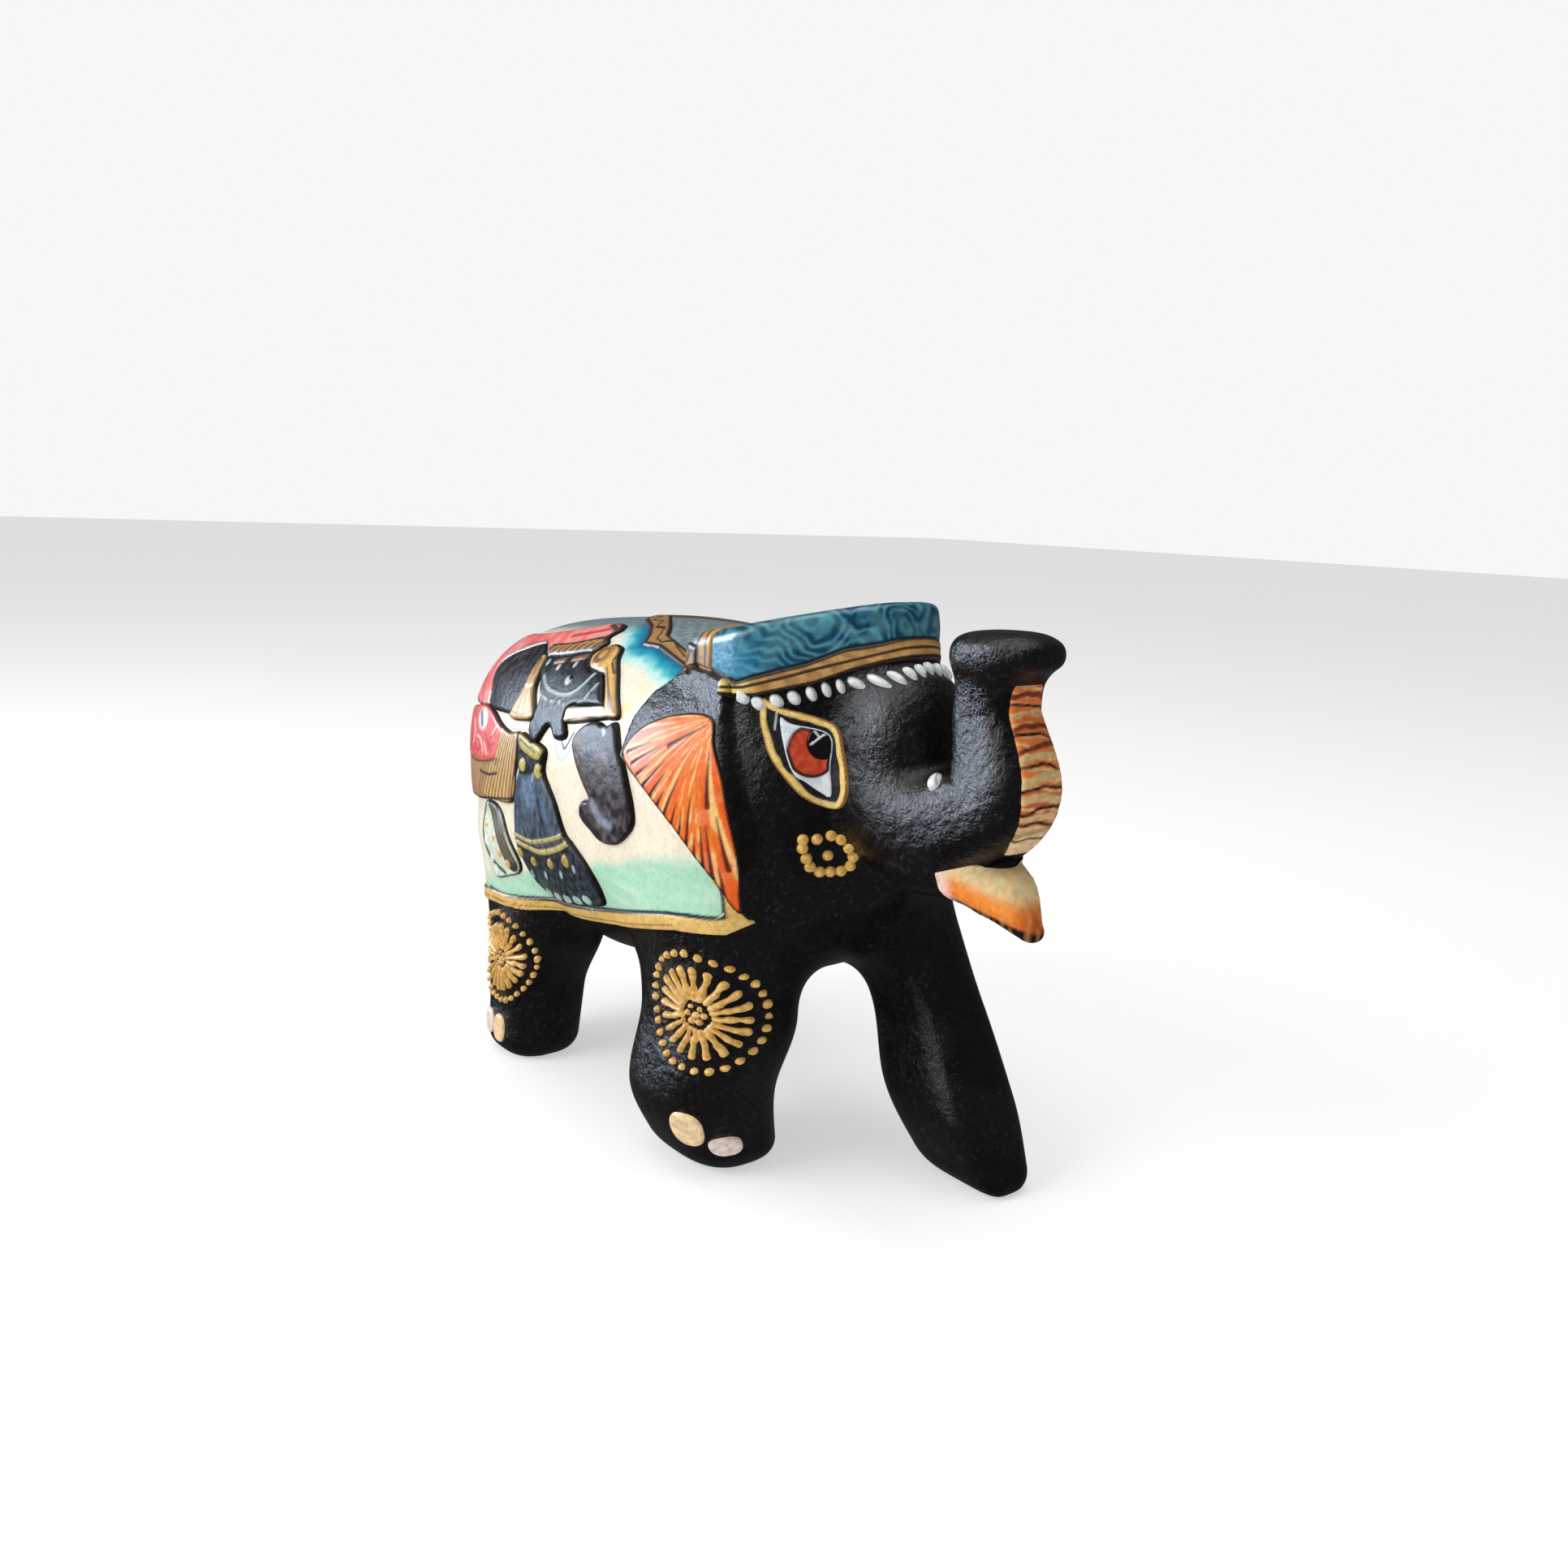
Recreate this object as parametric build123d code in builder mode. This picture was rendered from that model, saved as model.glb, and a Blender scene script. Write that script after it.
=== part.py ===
"""Painted elephant carved from one block of wood, with applied relief paste, enamel and gold paint.

Frame: mm, +Z up, the elephant looks along -Y and its right side is at -X.
The origin is at the bottom centre of the bounding box.
"""

from build123d import *
import os
from math import copysign, cos, pi, sin

# Driving dimensions, mm
LAYER = 0.4  # thickness of flat enamel and gold paint
RELIEF = 1.2  # how far the carved ears and the paste figures stand out
REACH = 32.0  # half width that every cutting prism spans
SOLE_ROUND = 2.4  # radius of the rounded edge under each foot

# Torso sections: y, half width, top z, bottom z
TORSO = [
    (-22, 15.5, 70.0, 34.0),
    (-12, 19.0, 72.2, 30.0),
    (-2, 21.6, 72.0, 26.5),
    (10, 23.0, 71.2, 25.0),
    (22, 23.2, 70.8, 24.8),
    (34, 22.6, 70.0, 25.0),
    (42, 21.4, 68.7, 26.3),
    (48, 18.8, 66.0, 29.0),
    (52, 14.8, 62.3, 32.8),
    (55.2, 9.5, 57.6, 37.5),
]
TORSO_POWER_UP = 2.8
TORSO_POWER_DOWN = 3.4

# Leg sections: z, centre x, centre y, half width, half length
LEGS = {
    "hind_r": [(0, -14.0, 37.4, 6.4, 7.1), (6, -13.8, 37.3, 6.7, 7.2), (12, -13.7, 36.6, 7.0, 7.5),
               (21, -13.8, 33.9, 8.0, 8.8), (29, -13.5, 33.2, 8.8, 9.8), (36, -13.0, 33.2, 9.2, 10.3)],
    "hind_l": [(0, 14.0, 33.4, 6.4, 7.1), (6, 13.8, 33.3, 6.7, 7.2), (12, 13.7, 32.7, 7.0, 7.5),
               (21, 13.8, 31.0, 8.0, 8.8), (29, 13.5, 30.8, 8.8, 9.8), (36, 13.0, 31.4, 9.2, 10.3)],
    "front_r": [(0, -12.2, -9.3, 7.4, 9.2), (6, -13.3, -9.3, 8.2, 10.0), (12, -13.4, -9.6, 8.4, 10.2),
                (21, -12.7, -10.8, 8.5, 10.5), (29, -12.4, -10.4, 8.8, 10.9), (36, -12.3, -9.0, 9.2, 11.2)],
    "front_l": [(0, 14.0, -37.0, 5.0, 7.4), (6, 13.5, -34.2, 6.2, 8.2), (12, 13.3, -30.6, 6.9, 8.5),
                (21, 13.6, -25.2, 6.9, 8.0), (29, 13.2, -19.6, 7.6, 8.8), (36, 12.8, -14.6, 8.4, 9.6)],
}
LEG_POWER = 2.6

# Head block
HEAD_HALF = 16.8
CORNER_Y = -19.2  # where the flat cheek turns into the slanted eye facet
BROW_HALF = 4.0
BROW_Y = -31.9
HEAD_REAR_Y = -7.0
CAP_REAR_Z = 73.1
CAP_FRONT_Z = 77.5
BROW_KNEE_Z = 56.0  # where the brow turns down to the chin
CHIN_Y = -38.0
CHIN_Z = 43.5
THROAT_Y = -17.0
THROAT_Z = 29.5
HEAD_EDGE = 1.6
HEAD_CENTRE = (0, -20.0, 53.0)
HEAD_HALVES = (16.8, 14.0, 23.0)  # from the centre to the cheek, the brow and the cap

# Trunk sections: y, z, half width, half thickness
TRUNK = [
    (-24, 50.5, 8.6, 8.4),
    (-33, 50.2, 8.0, 7.0),
    (-41.5, 51.8, 7.2, 6.2),
    (-46.9, 55.3, 6.4, 6.1),
    (-48.2, 60.5, 5.5, 5.4),
    (-46.9, 66.4, 4.7, 4.4),
    (-46.6, 71.0, 4.8, 4.2),
]
# Curled trunk tip: y, z, half width, half height
TIP = [
    (-41.9, 72.6, 3.4, 1.8),
    (-44.5, 72.8, 4.7, 2.7),
    (-48.5, 73.2, 5.0, 2.8),
    (-52.3, 73.3, 4.6, 2.5),
    (-54.6, 73.3, 2.6, 1.4),
]
# Open lower lip: y, z, half width, half height
LIP = [
    (-36.0, 46.4, 7.4, 4.0),
    (-44.0, 46.6, 5.8, 3.4),
    (-50.0, 45.2, 3.8, 3.0),
    (-54.2, 42.7, 1.7, 1.6),
]

# Outlines on the flank, as y, z
EAR = [(-4.0, 55.9), (-5.0, 61.3), (-8.0, 66.0), (-12.5, 67.8), (-17.2, 67.0), (-18.2, 62.4),
       (-20.7, 57.4), (-24.1, 45.8), (-25.4, 35.8), (-19.4, 42.9), (-13.0, 50.1), (-8.2, 53.5)]
EAR_PANEL = [(-4.7, 55.9), (-5.5, 58.4), (-11.1, 61.6), (-17.8, 62.4), (-20.3, 57.4),
             (-23.7, 45.8), (-25.0, 36.8), (-19.3, 43.5), (-13.0, 50.7), (-8.4, 54.0)]
PICTURE = [(47.5, 26.8), (36.0, 28.3), (26.4, 28.9), (4.7, 32.4), (-19.4, 37.0), (-18.4, 44.4),
           (-13.0, 50.1), (-8.2, 53.5), (-4.0, 55.9), (-5.0, 61.3), (-8.0, 66.0), (-6.3, 67.8),
           (-6.3, 76.0), (47.5, 76.0)]
BORDER = [(47.5, 25.0), (36.2, 26.5), (26.7, 27.1), (4.7, 30.6), (-13.7, 35.0), (-21.6, 35.6),
          (-22.9, 38.8), (-19.4, 42.9), (-18.4, 44.4), (-19.4, 37.0), (4.7, 32.4), (26.4, 28.9),
          (36.0, 28.3), (47.5, 26.8)]
FIGURE = {
    "body": [(35.5, 56.7), (39.3, 60.8), (38.9, 62.9), (33.9, 65.0), (29.4, 66.2), (27.0, 65.2),
             (28.6, 60.0), (28.8, 56.8)],
    "cap": [(34.7, 66.9), (26.9, 68.4), (19.7, 70.0), (16.5, 69.2), (14.9, 67.6), (21.6, 66.9),
            (29.4, 66.6), (33.9, 65.4)],
    "face": [(25.2, 64.0), (15.4, 66.2), (9.4, 63.4), (9.0, 61.0), (12.4, 59.4), (11.4, 55.9),
             (17.2, 55.9), (20.9, 54.4), (22.6, 57.0), (23.4, 60.8)],
    "tusk": [(11.4, 59.4), (4.4, 60.3), (2.6, 59.4), (4.8, 58.9), (11.4, 57.9)],
    "trunk": [(4.5, 58.7), (8.9, 56.0), (7.7, 53.2), (3.4, 48.6), (5.8, 47.0), (4.6, 44.8),
              (0.8, 43.5), (-3.4, 44.4), (-6.2, 47.3), (-5.6, 50.6), (-4.0, 53.8), (0.1, 57.2)],
    "cloth": [(42.3, 55.4), (35.9, 56.3), (30.2, 54.8), (24.4, 54.2), (24.0, 50.4), (25.4, 44.3),
              (40.5, 41.9), (43.0, 43.0)],
    "leg": [(23.4, 49.4), (15.9, 49.8), (12.9, 46.4), (8.9, 41.4), (2.8, 35.4), (8.0, 33.2),
            (18.7, 31.4), (24.2, 35.7), (24.0, 44.0)],
    "rope": [(34.5, 41.5), (31.8, 41.8), (26.4, 35.2), (27.6, 33.4)],
}
TASSELS = [
    [(27.0, 64.8), (25.0, 64.4), (23.0, 60.6), (21.4, 57.4), (28.2, 56.8), (26.6, 61.4)],
    [(13.9, 66.4), (11.4, 67.5), (8.8, 66.8), (5.7, 64.7), (0.6, 60.1), (3.3, 59.7), (8.0, 63.9),
     (10.8, 64.3), (13.4, 65.0)],
]

# Outlines on the back, as half plan x, y
SADDLE = [(0, 21.5), (3.0, 17.0), (4.4, 14.0), (7.6, 9.2), (10.0, 6.4), (12.6, 0.5), (16.0, -6.0),
          (0, -6.0)]
SADDLE_BAND = [(0, 25.5), (3.6, 21.5), (5.8, 18.9), (8.7, 13.1), (11.4, 9.4), (13.4, 6.0),
               (17.2, -4.6), (17.6, -6.0), (16.0, -6.0), (12.6, 0.5), (10.0, 6.4), (7.6, 9.2),
               (4.4, 14.0), (3.0, 17.0), (0, 21.5)]

# Head paint: lower edge of the gold band from the rear to the brow, as y, z
BAND_EDGE = [(-12.4, 67.2), (-18.6, 66.4), (-32.5, 71.4), (-40.0, 71.6)]
BAND_HEIGHT = 2.0
BAND_RELIEF = 0.7
FACET_PEARLS = 8  # along each eye facet
PEARL_PITCH = 2.0
PEARL_RISE = 0.5  # height gained from one pearl to the next
PEARL_START = (1.6, 65.8)  # along the facet, z
PEARL_HALF = (0.65, 1.0)
PEARL_TILT = -20.0
BROW_PEARLS = 4
BROW_PEARL_DROP = -7.6  # down the brow from the top of the cap
NECK_STRIP = 2.4

# Eye, in its facet: distance along the facet from the corner, z
EYE_OUTER = [(4.0, 64.6), (10.6, 62.4), (12.4, 60.6), (12.7, 56.4), (11.4, 52.2), (8.0, 53.6),
             (4.2, 57.2), (2.6, 61.0), (2.8, 64.2)]
EYE_INNER = [(4.4, 63.3), (10.0, 61.4), (11.4, 60.0), (11.6, 56.4), (10.7, 53.6), (8.3, 54.8),
             (5.2, 57.9), (3.8, 61.2)]
IRIS_CENTRE = (8.0, 59.6)
IRIS_RADIUS = 2.3
PUPIL_CENTRE = (8.7, 59.5)
PUPIL_RADIUS = 1.45

ROSETTE_CENTRE = (9.4, 46.4)
ROSETTE_RADIUS = 2.7
ROSETTE_BLOBS = 8
BEAD = (5.6, -41.8, 57.2)
BEAD_RADIUS = 1.2

# Medallions: centre point inside the leg, and the way each one faces in plan
MEDALLIONS = {
    "front_r": ((-12.6, -13.0, 24.0), (-0.87, -0.5)),
    "front_l": ((13.5, -25.0, 23.0), (0.97, -0.25)),
    "hind_r": ((-13.8, 33.6, 17.6), (-1.0, -0.1)),
    "hind_l": ((13.8, 31.0, 17.6), (1.0, -0.1)),
}
SPOKES = 20
SPOKE_INNER = 1.9
SPOKE_OUTER = 5.5
DOT_RING = 7.4
DOTS = 26
DOT_RADIUS = 0.55

# Toenails on each foot: which way they face in plan, from the middle of the foot
TOENAILS = {
    "front_r": [(-0.88, -0.48), (-0.42, -0.91)],
    "front_l": [(0.80, -0.60), (0.15, -0.99)],
    "hind_r": [(-0.92, 0.40), (-0.92, -0.40)],
    "hind_l": [(0.92, 0.40), (0.92, -0.40)],
}
TOENAIL_Z = 4.6
TOENAIL_HALF = (1.8, 2.4)


def squared_oval(half_u, half_v, power_up, power_down):
    """Sixteen points round an oval whose corners are squared by the two powers."""
    points = []
    for step in range(16):
        angle = 2 * pi * (step + 0.5) / 16
        power = power_up if sin(angle) > 0 else power_down
        u = copysign(half_u * abs(cos(angle)) ** (2 / power), cos(angle))
        v = copysign(half_v * abs(sin(angle)) ** (2 / power), sin(angle))
        points.append((u, v))
    return points


def skin_through(sections, power_up, power_down):
    """Loft through ovals given as plane, half width and half height."""
    with BuildPart() as skin:
        for plane, half_u, half_v in sections:
            with BuildSketch(plane):
                with BuildLine():
                    Spline(*squared_oval(half_u, half_v, power_up, power_down), periodic=True)
                make_face()
        loft()
    return skin.part


def torso_shape(grow):
    sections = []
    for y, half_width, top, bottom in TORSO:
        plane = Plane(origin=(0, y, (top + bottom) / 2), x_dir=(-1, 0, 0), z_dir=(0, 1, 0))
        sections.append((plane, half_width + grow, (top - bottom) / 2 + grow))
    return skin_through(sections, TORSO_POWER_UP, TORSO_POWER_DOWN)


def leg_shape(stations, grow):
    """Leg with its sole's edge rounded over."""
    sections = []
    for z, x, y, half_width, half_length in stations:
        plane = Plane(origin=(x, y, z), x_dir=(1, 0, 0), z_dir=(0, 0, 1))
        sections.append((plane, half_width + grow, half_length + grow))
    leg = skin_through(sections, LEG_POWER, LEG_POWER)
    with BuildPart() as shaped:
        add(leg)
        fillet(shaped.edges().group_by(Axis.Z)[0], SOLE_ROUND)
    return shaped.part


def path_sections(stations):
    """Section planes across a curved limb that lies in the plane x = 0."""
    sections = []
    for index, (y, z, half_width, half_thickness) in enumerate(stations):
        before = stations[max(index - 1, 0)]
        after = stations[min(index + 1, len(stations) - 1)]
        along = (0, after[0] - before[0], after[1] - before[1])
        plane = Plane(origin=(0, y, z), x_dir=(1, 0, 0), z_dir=along)
        sections.append((plane, half_width, half_thickness))
    return sections


def head_shape(grow):
    """Tapered block with a slanted facet for each eye and a cap that rises towards the brow."""
    with BuildPart() as head:
        with BuildSketch(Plane.XY.offset(25)):
            with BuildLine():
                Polyline(
                    (HEAD_HALF, HEAD_REAR_Y), (HEAD_HALF, CORNER_Y), (BROW_HALF, BROW_Y),
                    (BROW_HALF, CHIN_Y - 4), (-BROW_HALF, CHIN_Y - 4), (-BROW_HALF, BROW_Y),
                    (-HEAD_HALF, CORNER_Y), (-HEAD_HALF, HEAD_REAR_Y), close=True,
                )
            make_face()
        extrude(amount=60)
        with BuildSketch(Plane.YZ.offset(-REACH)):
            with BuildLine():
                Polyline(
                    (HEAD_REAR_Y, CAP_REAR_Z), (BROW_Y, CAP_FRONT_Z), (CHIN_Y + 2.4, BROW_KNEE_Z),
                    (CHIN_Y, CHIN_Z), (THROAT_Y, THROAT_Z), (HEAD_REAR_Y, THROAT_Z), close=True,
                )
            make_face()
        extrude(amount=2 * REACH, mode=Mode.INTERSECT)
        front = head.edges().filter_by(lambda edge: edge.center().Y < HEAD_REAR_Y - 1)
        fillet(front.filter_by(lambda edge: edge.center().Z > THROAT_Z + 1), HEAD_EDGE)
    if grow == 0:
        return head.part
    stretch = [(half + grow) / half for half in HEAD_HALVES]
    shift = [middle * (1 - factor) for middle, factor in zip(HEAD_CENTRE, stretch)]
    return scale(head.part, by=tuple(stretch), mode=Mode.PRIVATE).moved(Location(shift))


def body_shape(grow):
    """Torso and four legs, grown outwards by a layer's thickness."""
    torso = torso_shape(grow)
    legs = [leg_shape(stations, grow) for stations in LEGS.values()]
    with BuildPart() as body:
        add(torso)
        add(legs)
    return body.part


def envelope(grow):
    """Torso, legs and head block together, grown outwards by a layer's thickness."""
    body = body_shape(grow)
    head = head_shape(grow)
    with BuildPart() as whole:
        add(body)
        add(head)
    return whole.part


def prism(outline, side, start=6.0):
    """Solid that stands over a flank outline on one side of the elephant."""
    with BuildPart() as block:
        with BuildSketch(Plane.YZ.offset(side * start)):
            with BuildLine():
                Polyline(*outline, close=True)
            make_face()
        extrude(amount=side * (REACH - start))
    return block.part


def plan_prism(half_outline):
    """Solid above a plan outline that is mirrored about the spine."""
    with BuildPart() as block:
        with BuildSketch(Plane.XY.offset(60)):
            with BuildLine():
                Polyline(*half_outline, close=True)
            make_face()
            mirror(about=Plane.YZ)
        extrude(amount=30)
    return block.part


def profile_slab(outline):
    """Solid over a side-profile outline, through the whole width."""
    with BuildPart() as block:
        with BuildSketch(Plane.YZ.offset(-REACH)):
            with BuildLine():
                Polyline(*outline, close=True)
            make_face()
        extrude(amount=2 * REACH)
    return block.part


def applied(cutter, layer, removed=()):
    """The share of a layer that a cutting solid covers, less what other paint already covers."""
    with BuildPart() as piece:
        add(cutter)
        add(layer, mode=Mode.INTERSECT)
        for other in removed:
            add(other, mode=Mode.SUBTRACT)
    return piece.part


def facet_plane(side):
    """Plane of an eye facet: x runs from the cheek corner to the brow, y is up."""
    run = HEAD_HALF - BROW_HALF
    fall = CORNER_Y - BROW_Y
    length = (run**2 + fall**2) ** 0.5
    along = (-side * run / length, -fall / length, 0)
    outward = (side * fall / length, -run / length, 0)
    corner = (side * HEAD_HALF, CORNER_Y, 0)
    if side > 0:
        return Plane(origin=corner, x_dir=(-along[0], -along[1], 0), z_dir=outward)
    return Plane(origin=corner, x_dir=along, z_dir=outward)


def closed_curve(points):
    with BuildSketch(Plane.XY) as drawing:
        with BuildLine():
            Spline(*points, periodic=True)
        make_face()
    return drawing.sketch


def disc(centre, radius):
    with BuildSketch(Plane.XY) as drawing:
        with Locations(centre):
            Circle(radius)
    return drawing.sketch


def facet_piece(side, shape, cut_away, height, wood):
    """Flat paint on an eye facet: one sketch less others, raised by its height."""
    with BuildPart() as piece:
        with BuildSketch(facet_plane(side)):
            add(shape)
            for other in cut_away:
                add(other, mode=Mode.SUBTRACT)
        extrude(amount=height)
        add(wood, mode=Mode.SUBTRACT)
    return piece.part


def pearl_row(plane, spots, tilt):
    """Oval drops of raised paint standing on a plane, each with a rounded top edge."""
    with BuildPart() as row:
        with BuildSketch(plane):
            with Locations(*spots):
                Ellipse(*PEARL_HALF, rotation=tilt)
        extrude(amount=0.7)
        fillet(row.edges().group_by(Axis(plane.origin, plane.z_dir))[-1], 0.3)
    return row.part


def medallion(leg, wood):
    """Gold wheel of spokes with a ring of dots, as a thin layer over a leg."""
    centre, (face_x, face_y) = MEDALLIONS[leg]
    plane = Plane(origin=centre, x_dir=(-face_y, face_x, 0), z_dir=(face_x, face_y, 0))
    spoke = (SPOKE_INNER + SPOKE_OUTER) / 2
    with BuildPart() as wheel:
        with BuildSketch(plane):
            with PolarLocations(spoke, SPOKES):
                SlotOverall(SPOKE_OUTER - SPOKE_INNER, 0.75)
            with PolarLocations(DOT_RING, DOTS):
                Circle(DOT_RADIUS)
            with PolarLocations(0.95, 5):
                Circle(0.4)
        extrude(amount=14)
    return applied(wheel.part, leg_shape(LEGS[leg], LAYER), [wood])


def toenails(leg, wood):
    """Painted nails on a foot, each facing outwards from the foot's middle."""
    z, x, y, half_width, half_length = LEGS[leg][0]
    with BuildPart() as nails:
        for face_x, face_y in TOENAILS[leg]:
            plane = Plane(origin=(x, y, TOENAIL_Z), x_dir=(-face_y, face_x, 0), z_dir=(face_x, face_y, 0))
            with BuildSketch(plane):
                Ellipse(*TOENAIL_HALF)
            extrude(amount=14)
    return applied(nails.part, leg_shape(LEGS[leg], LAYER), [wood])


def publish(part, name):
    part.label = name
    export_step(part, f"parts/{name}.step")
    print(name, len(part.solids()), round(part.volume, 1))


os.makedirs("parts", exist_ok=True)

# The carved block
plain = envelope(0)
raised = envelope(RELIEF)
trunk = skin_through(path_sections(TRUNK), 2.8, 2.8)
tip_sections = [(Plane(origin=(0, y, z), x_dir=(1, 0, 0), z_dir=(0, -1, 0)), u, v) for y, z, u, v in TIP]
trunk_tip = skin_through(tip_sections, 2.4, 2.4)
lip = skin_through(path_sections(LIP), 2.2, 2.2)
ears = [applied(prism(EAR, side), raised) for side in (-1, 1)]

with BuildPart() as carving:
    add(plain)
    add(ears)
    add(trunk)
    add(trunk_tip)
    add(lip)
publish(carving.part, "carving")

# Paint coats that drape over the carving: flat enamel first, raised paste figures on top of it
enamel = envelope(LAYER)
ear_envelope = envelope(RELIEF + LAYER)
with BuildPart() as ground_coat:
    add(enamel)
    add(carving.part, mode=Mode.SUBTRACT)
with BuildPart() as figure_coat:
    add(raised)
    add(enamel, mode=Mode.SUBTRACT)

# Back: saddle cloth, its scalloped gold band and the strip at the neck
saddle = applied(plan_prism(SADDLE), ground_coat.part)
saddle_band = applied(plan_prism(SADDLE_BAND), ground_coat.part)
strip_front = HEAD_REAR_Y - NECK_STRIP
neck_zone = profile_slab([(HEAD_REAR_Y, 68), (HEAD_REAR_Y, 90), (strip_front, 90), (strip_front, 68)])
neck_strip = applied(neck_zone, ground_coat.part)
publish(saddle, "saddle")
publish(saddle_band, "saddle_band")
publish(neck_strip, "neck_strip")

# Head: teal cap above a gold band that rises towards the brow, with a row of pearls below
band_top = [(y, z + BAND_HEIGHT) for y, z in BAND_EDGE]
cap_rear = (strip_front, band_top[0][1] + 0.4)
cap_zone = profile_slab([cap_rear, *band_top, (-40, 90), (strip_front, 90)])
cap = applied(cap_zone, head_shape(LAYER), [carving.part])
cap_band = applied(profile_slab(BAND_EDGE + band_top[::-1]), head_shape(BAND_RELIEF), [carving.part])
publish(cap, "cap")
publish(cap_band, "cap_band")

brow_rise = CAP_FRONT_Z - BROW_KNEE_Z
brow_facing = (0, -brow_rise, BROW_Y - CHIN_Y - 2.4)
brow_plane = Plane(origin=(0, BROW_Y, CAP_FRONT_Z), x_dir=(1, 0, 0), z_dir=brow_facing)
brow_spots = [(1.6 * (step + 0.5 - BROW_PEARLS / 2), BROW_PEARL_DROP) for step in range(BROW_PEARLS)]
pearls = [pearl_row(brow_plane, brow_spots, 0)]
for side in (-1, 1):
    spots = []
    for step in range(FACET_PEARLS):
        distance = PEARL_START[0] + step * PEARL_PITCH
        spots.append((-side * distance, PEARL_START[1] + step * PEARL_RISE))
    pearls.append(pearl_row(facet_plane(side), spots, side * PEARL_TILT))
publish(Compound(children=pearls), "forehead_pearls")

for side, mark in ((-1, "r"), (1, "l")):
    # Flank picture, its gold border and the raised elephant on it
    border = applied(prism(BORDER, side), ground_coat.part)
    picture = applied(prism(PICTURE, side, start=0), ground_coat.part, [saddle, saddle_band, border])
    publish(picture, f"picture_{mark}")
    publish(border, f"picture_border_{mark}")
    tassels = [applied(prism(outline, side), figure_coat.part) for outline in TASSELS]
    publish(Compound(children=tassels), f"figure_tassels_{mark}")
    for name, outline in FIGURE.items():
        publish(applied(prism(outline, side), figure_coat.part, tassels), f"figure_{name}_{mark}")

    # Ear paint and the eye, drawn on its facet
    ear_coat = applied(prism(EAR_PANEL, side), ear_envelope, [carving.part])
    publish(ear_coat, f"ear_panel_{mark}")
    turn = -side
    outer = closed_curve([(turn * distance, height) for distance, height in EYE_OUTER])
    inner = closed_curve([(turn * distance, height) for distance, height in EYE_INNER])
    iris = disc((turn * IRIS_CENTRE[0], IRIS_CENTRE[1]), IRIS_RADIUS)
    pupil = disc((turn * PUPIL_CENTRE[0], PUPIL_CENTRE[1]), PUPIL_RADIUS)
    publish(facet_piece(side, outer, [inner], 0.7, carving.part), f"eye_ring_{mark}")
    publish(facet_piece(side, inner, [iris], LAYER, carving.part), f"eye_white_{mark}")
    publish(facet_piece(side, iris, [pupil], LAYER, carving.part), f"iris_{mark}")
    publish(facet_piece(side, pupil, [], LAYER, carving.part), f"pupil_{mark}")

    # Gold flower on the cheek: a ring of blobs round a dot
    with BuildPart() as rosette:
        with BuildSketch(facet_plane(side).move(Location(facet_plane(side).z_dir * -1.0))):
            with Locations((turn * ROSETTE_CENTRE[0], ROSETTE_CENTRE[1])):
                with PolarLocations(ROSETTE_RADIUS, ROSETTE_BLOBS):
                    Circle(0.85)
                Circle(0.6)
        extrude(amount=1.0 + LAYER)
        add([carving.part, ear_coat], mode=Mode.SUBTRACT)
    publish(rosette.part, f"rosette_{mark}")

    bead = (side * BEAD[0], BEAD[1], BEAD[2])
    with BuildPart() as trunk_bead:
        with Locations(bead):
            Sphere(BEAD_RADIUS)
        add(carving.part, mode=Mode.SUBTRACT)
    publish(trunk_bead.part, f"trunk_bead_{mark}")

# Front of the trunk and the open lower lip
stripe_zone = Box(9.2, 14, 19.6, align=(Align.CENTER, Align.MAX, Align.MIN), mode=Mode.PRIVATE)
trunk_grown = [(y, z, u + LAYER, v + LAYER) for y, z, u, v in TRUNK]
lip_grown = [(y, z, u + LAYER, v + LAYER) for y, z, u, v in LIP]
trunk_coat = skin_through(path_sections(trunk_grown), 2.8, 2.8)
lip_coat = skin_through(path_sections(lip_grown), 2.2, 2.2)
stripes = applied(stripe_zone.moved(Location((0, -48.6, 51.0))), trunk_coat, [carving.part])
publish(stripes, "trunk_stripes")
lip_zone = profile_slab([(-45.6, 45.6), (-55.2, 41.0), (-57, 50), (-46, 51)])
publish(applied(lip_zone, lip_coat, [carving.part, stripes]), "lip_panel")

for leg in LEGS:
    publish(medallion(leg, carving.part), f"medallion_{leg}")
    publish(toenails(leg, carving.part), f"toenails_{leg}")
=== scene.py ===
"""Painted carved wooden elephant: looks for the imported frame. Lengths are mm until a mesh is made."""

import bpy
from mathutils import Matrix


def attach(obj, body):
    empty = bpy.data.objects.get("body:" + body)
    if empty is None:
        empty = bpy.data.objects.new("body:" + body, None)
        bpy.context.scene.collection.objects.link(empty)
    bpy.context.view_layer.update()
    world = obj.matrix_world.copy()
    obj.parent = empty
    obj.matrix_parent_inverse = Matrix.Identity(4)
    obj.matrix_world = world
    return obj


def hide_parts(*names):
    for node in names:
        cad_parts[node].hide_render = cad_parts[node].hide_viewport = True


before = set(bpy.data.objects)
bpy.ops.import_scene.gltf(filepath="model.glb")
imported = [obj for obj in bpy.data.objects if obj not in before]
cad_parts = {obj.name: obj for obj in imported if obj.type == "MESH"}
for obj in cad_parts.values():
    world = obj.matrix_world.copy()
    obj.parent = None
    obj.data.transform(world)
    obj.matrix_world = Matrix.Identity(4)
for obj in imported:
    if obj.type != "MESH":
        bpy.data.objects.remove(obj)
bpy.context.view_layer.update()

import math
import bpy
import numpy as np
from mathutils import Matrix, Vector
from mathutils.bvhtree import BVHTree

MM = 0.001

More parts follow.
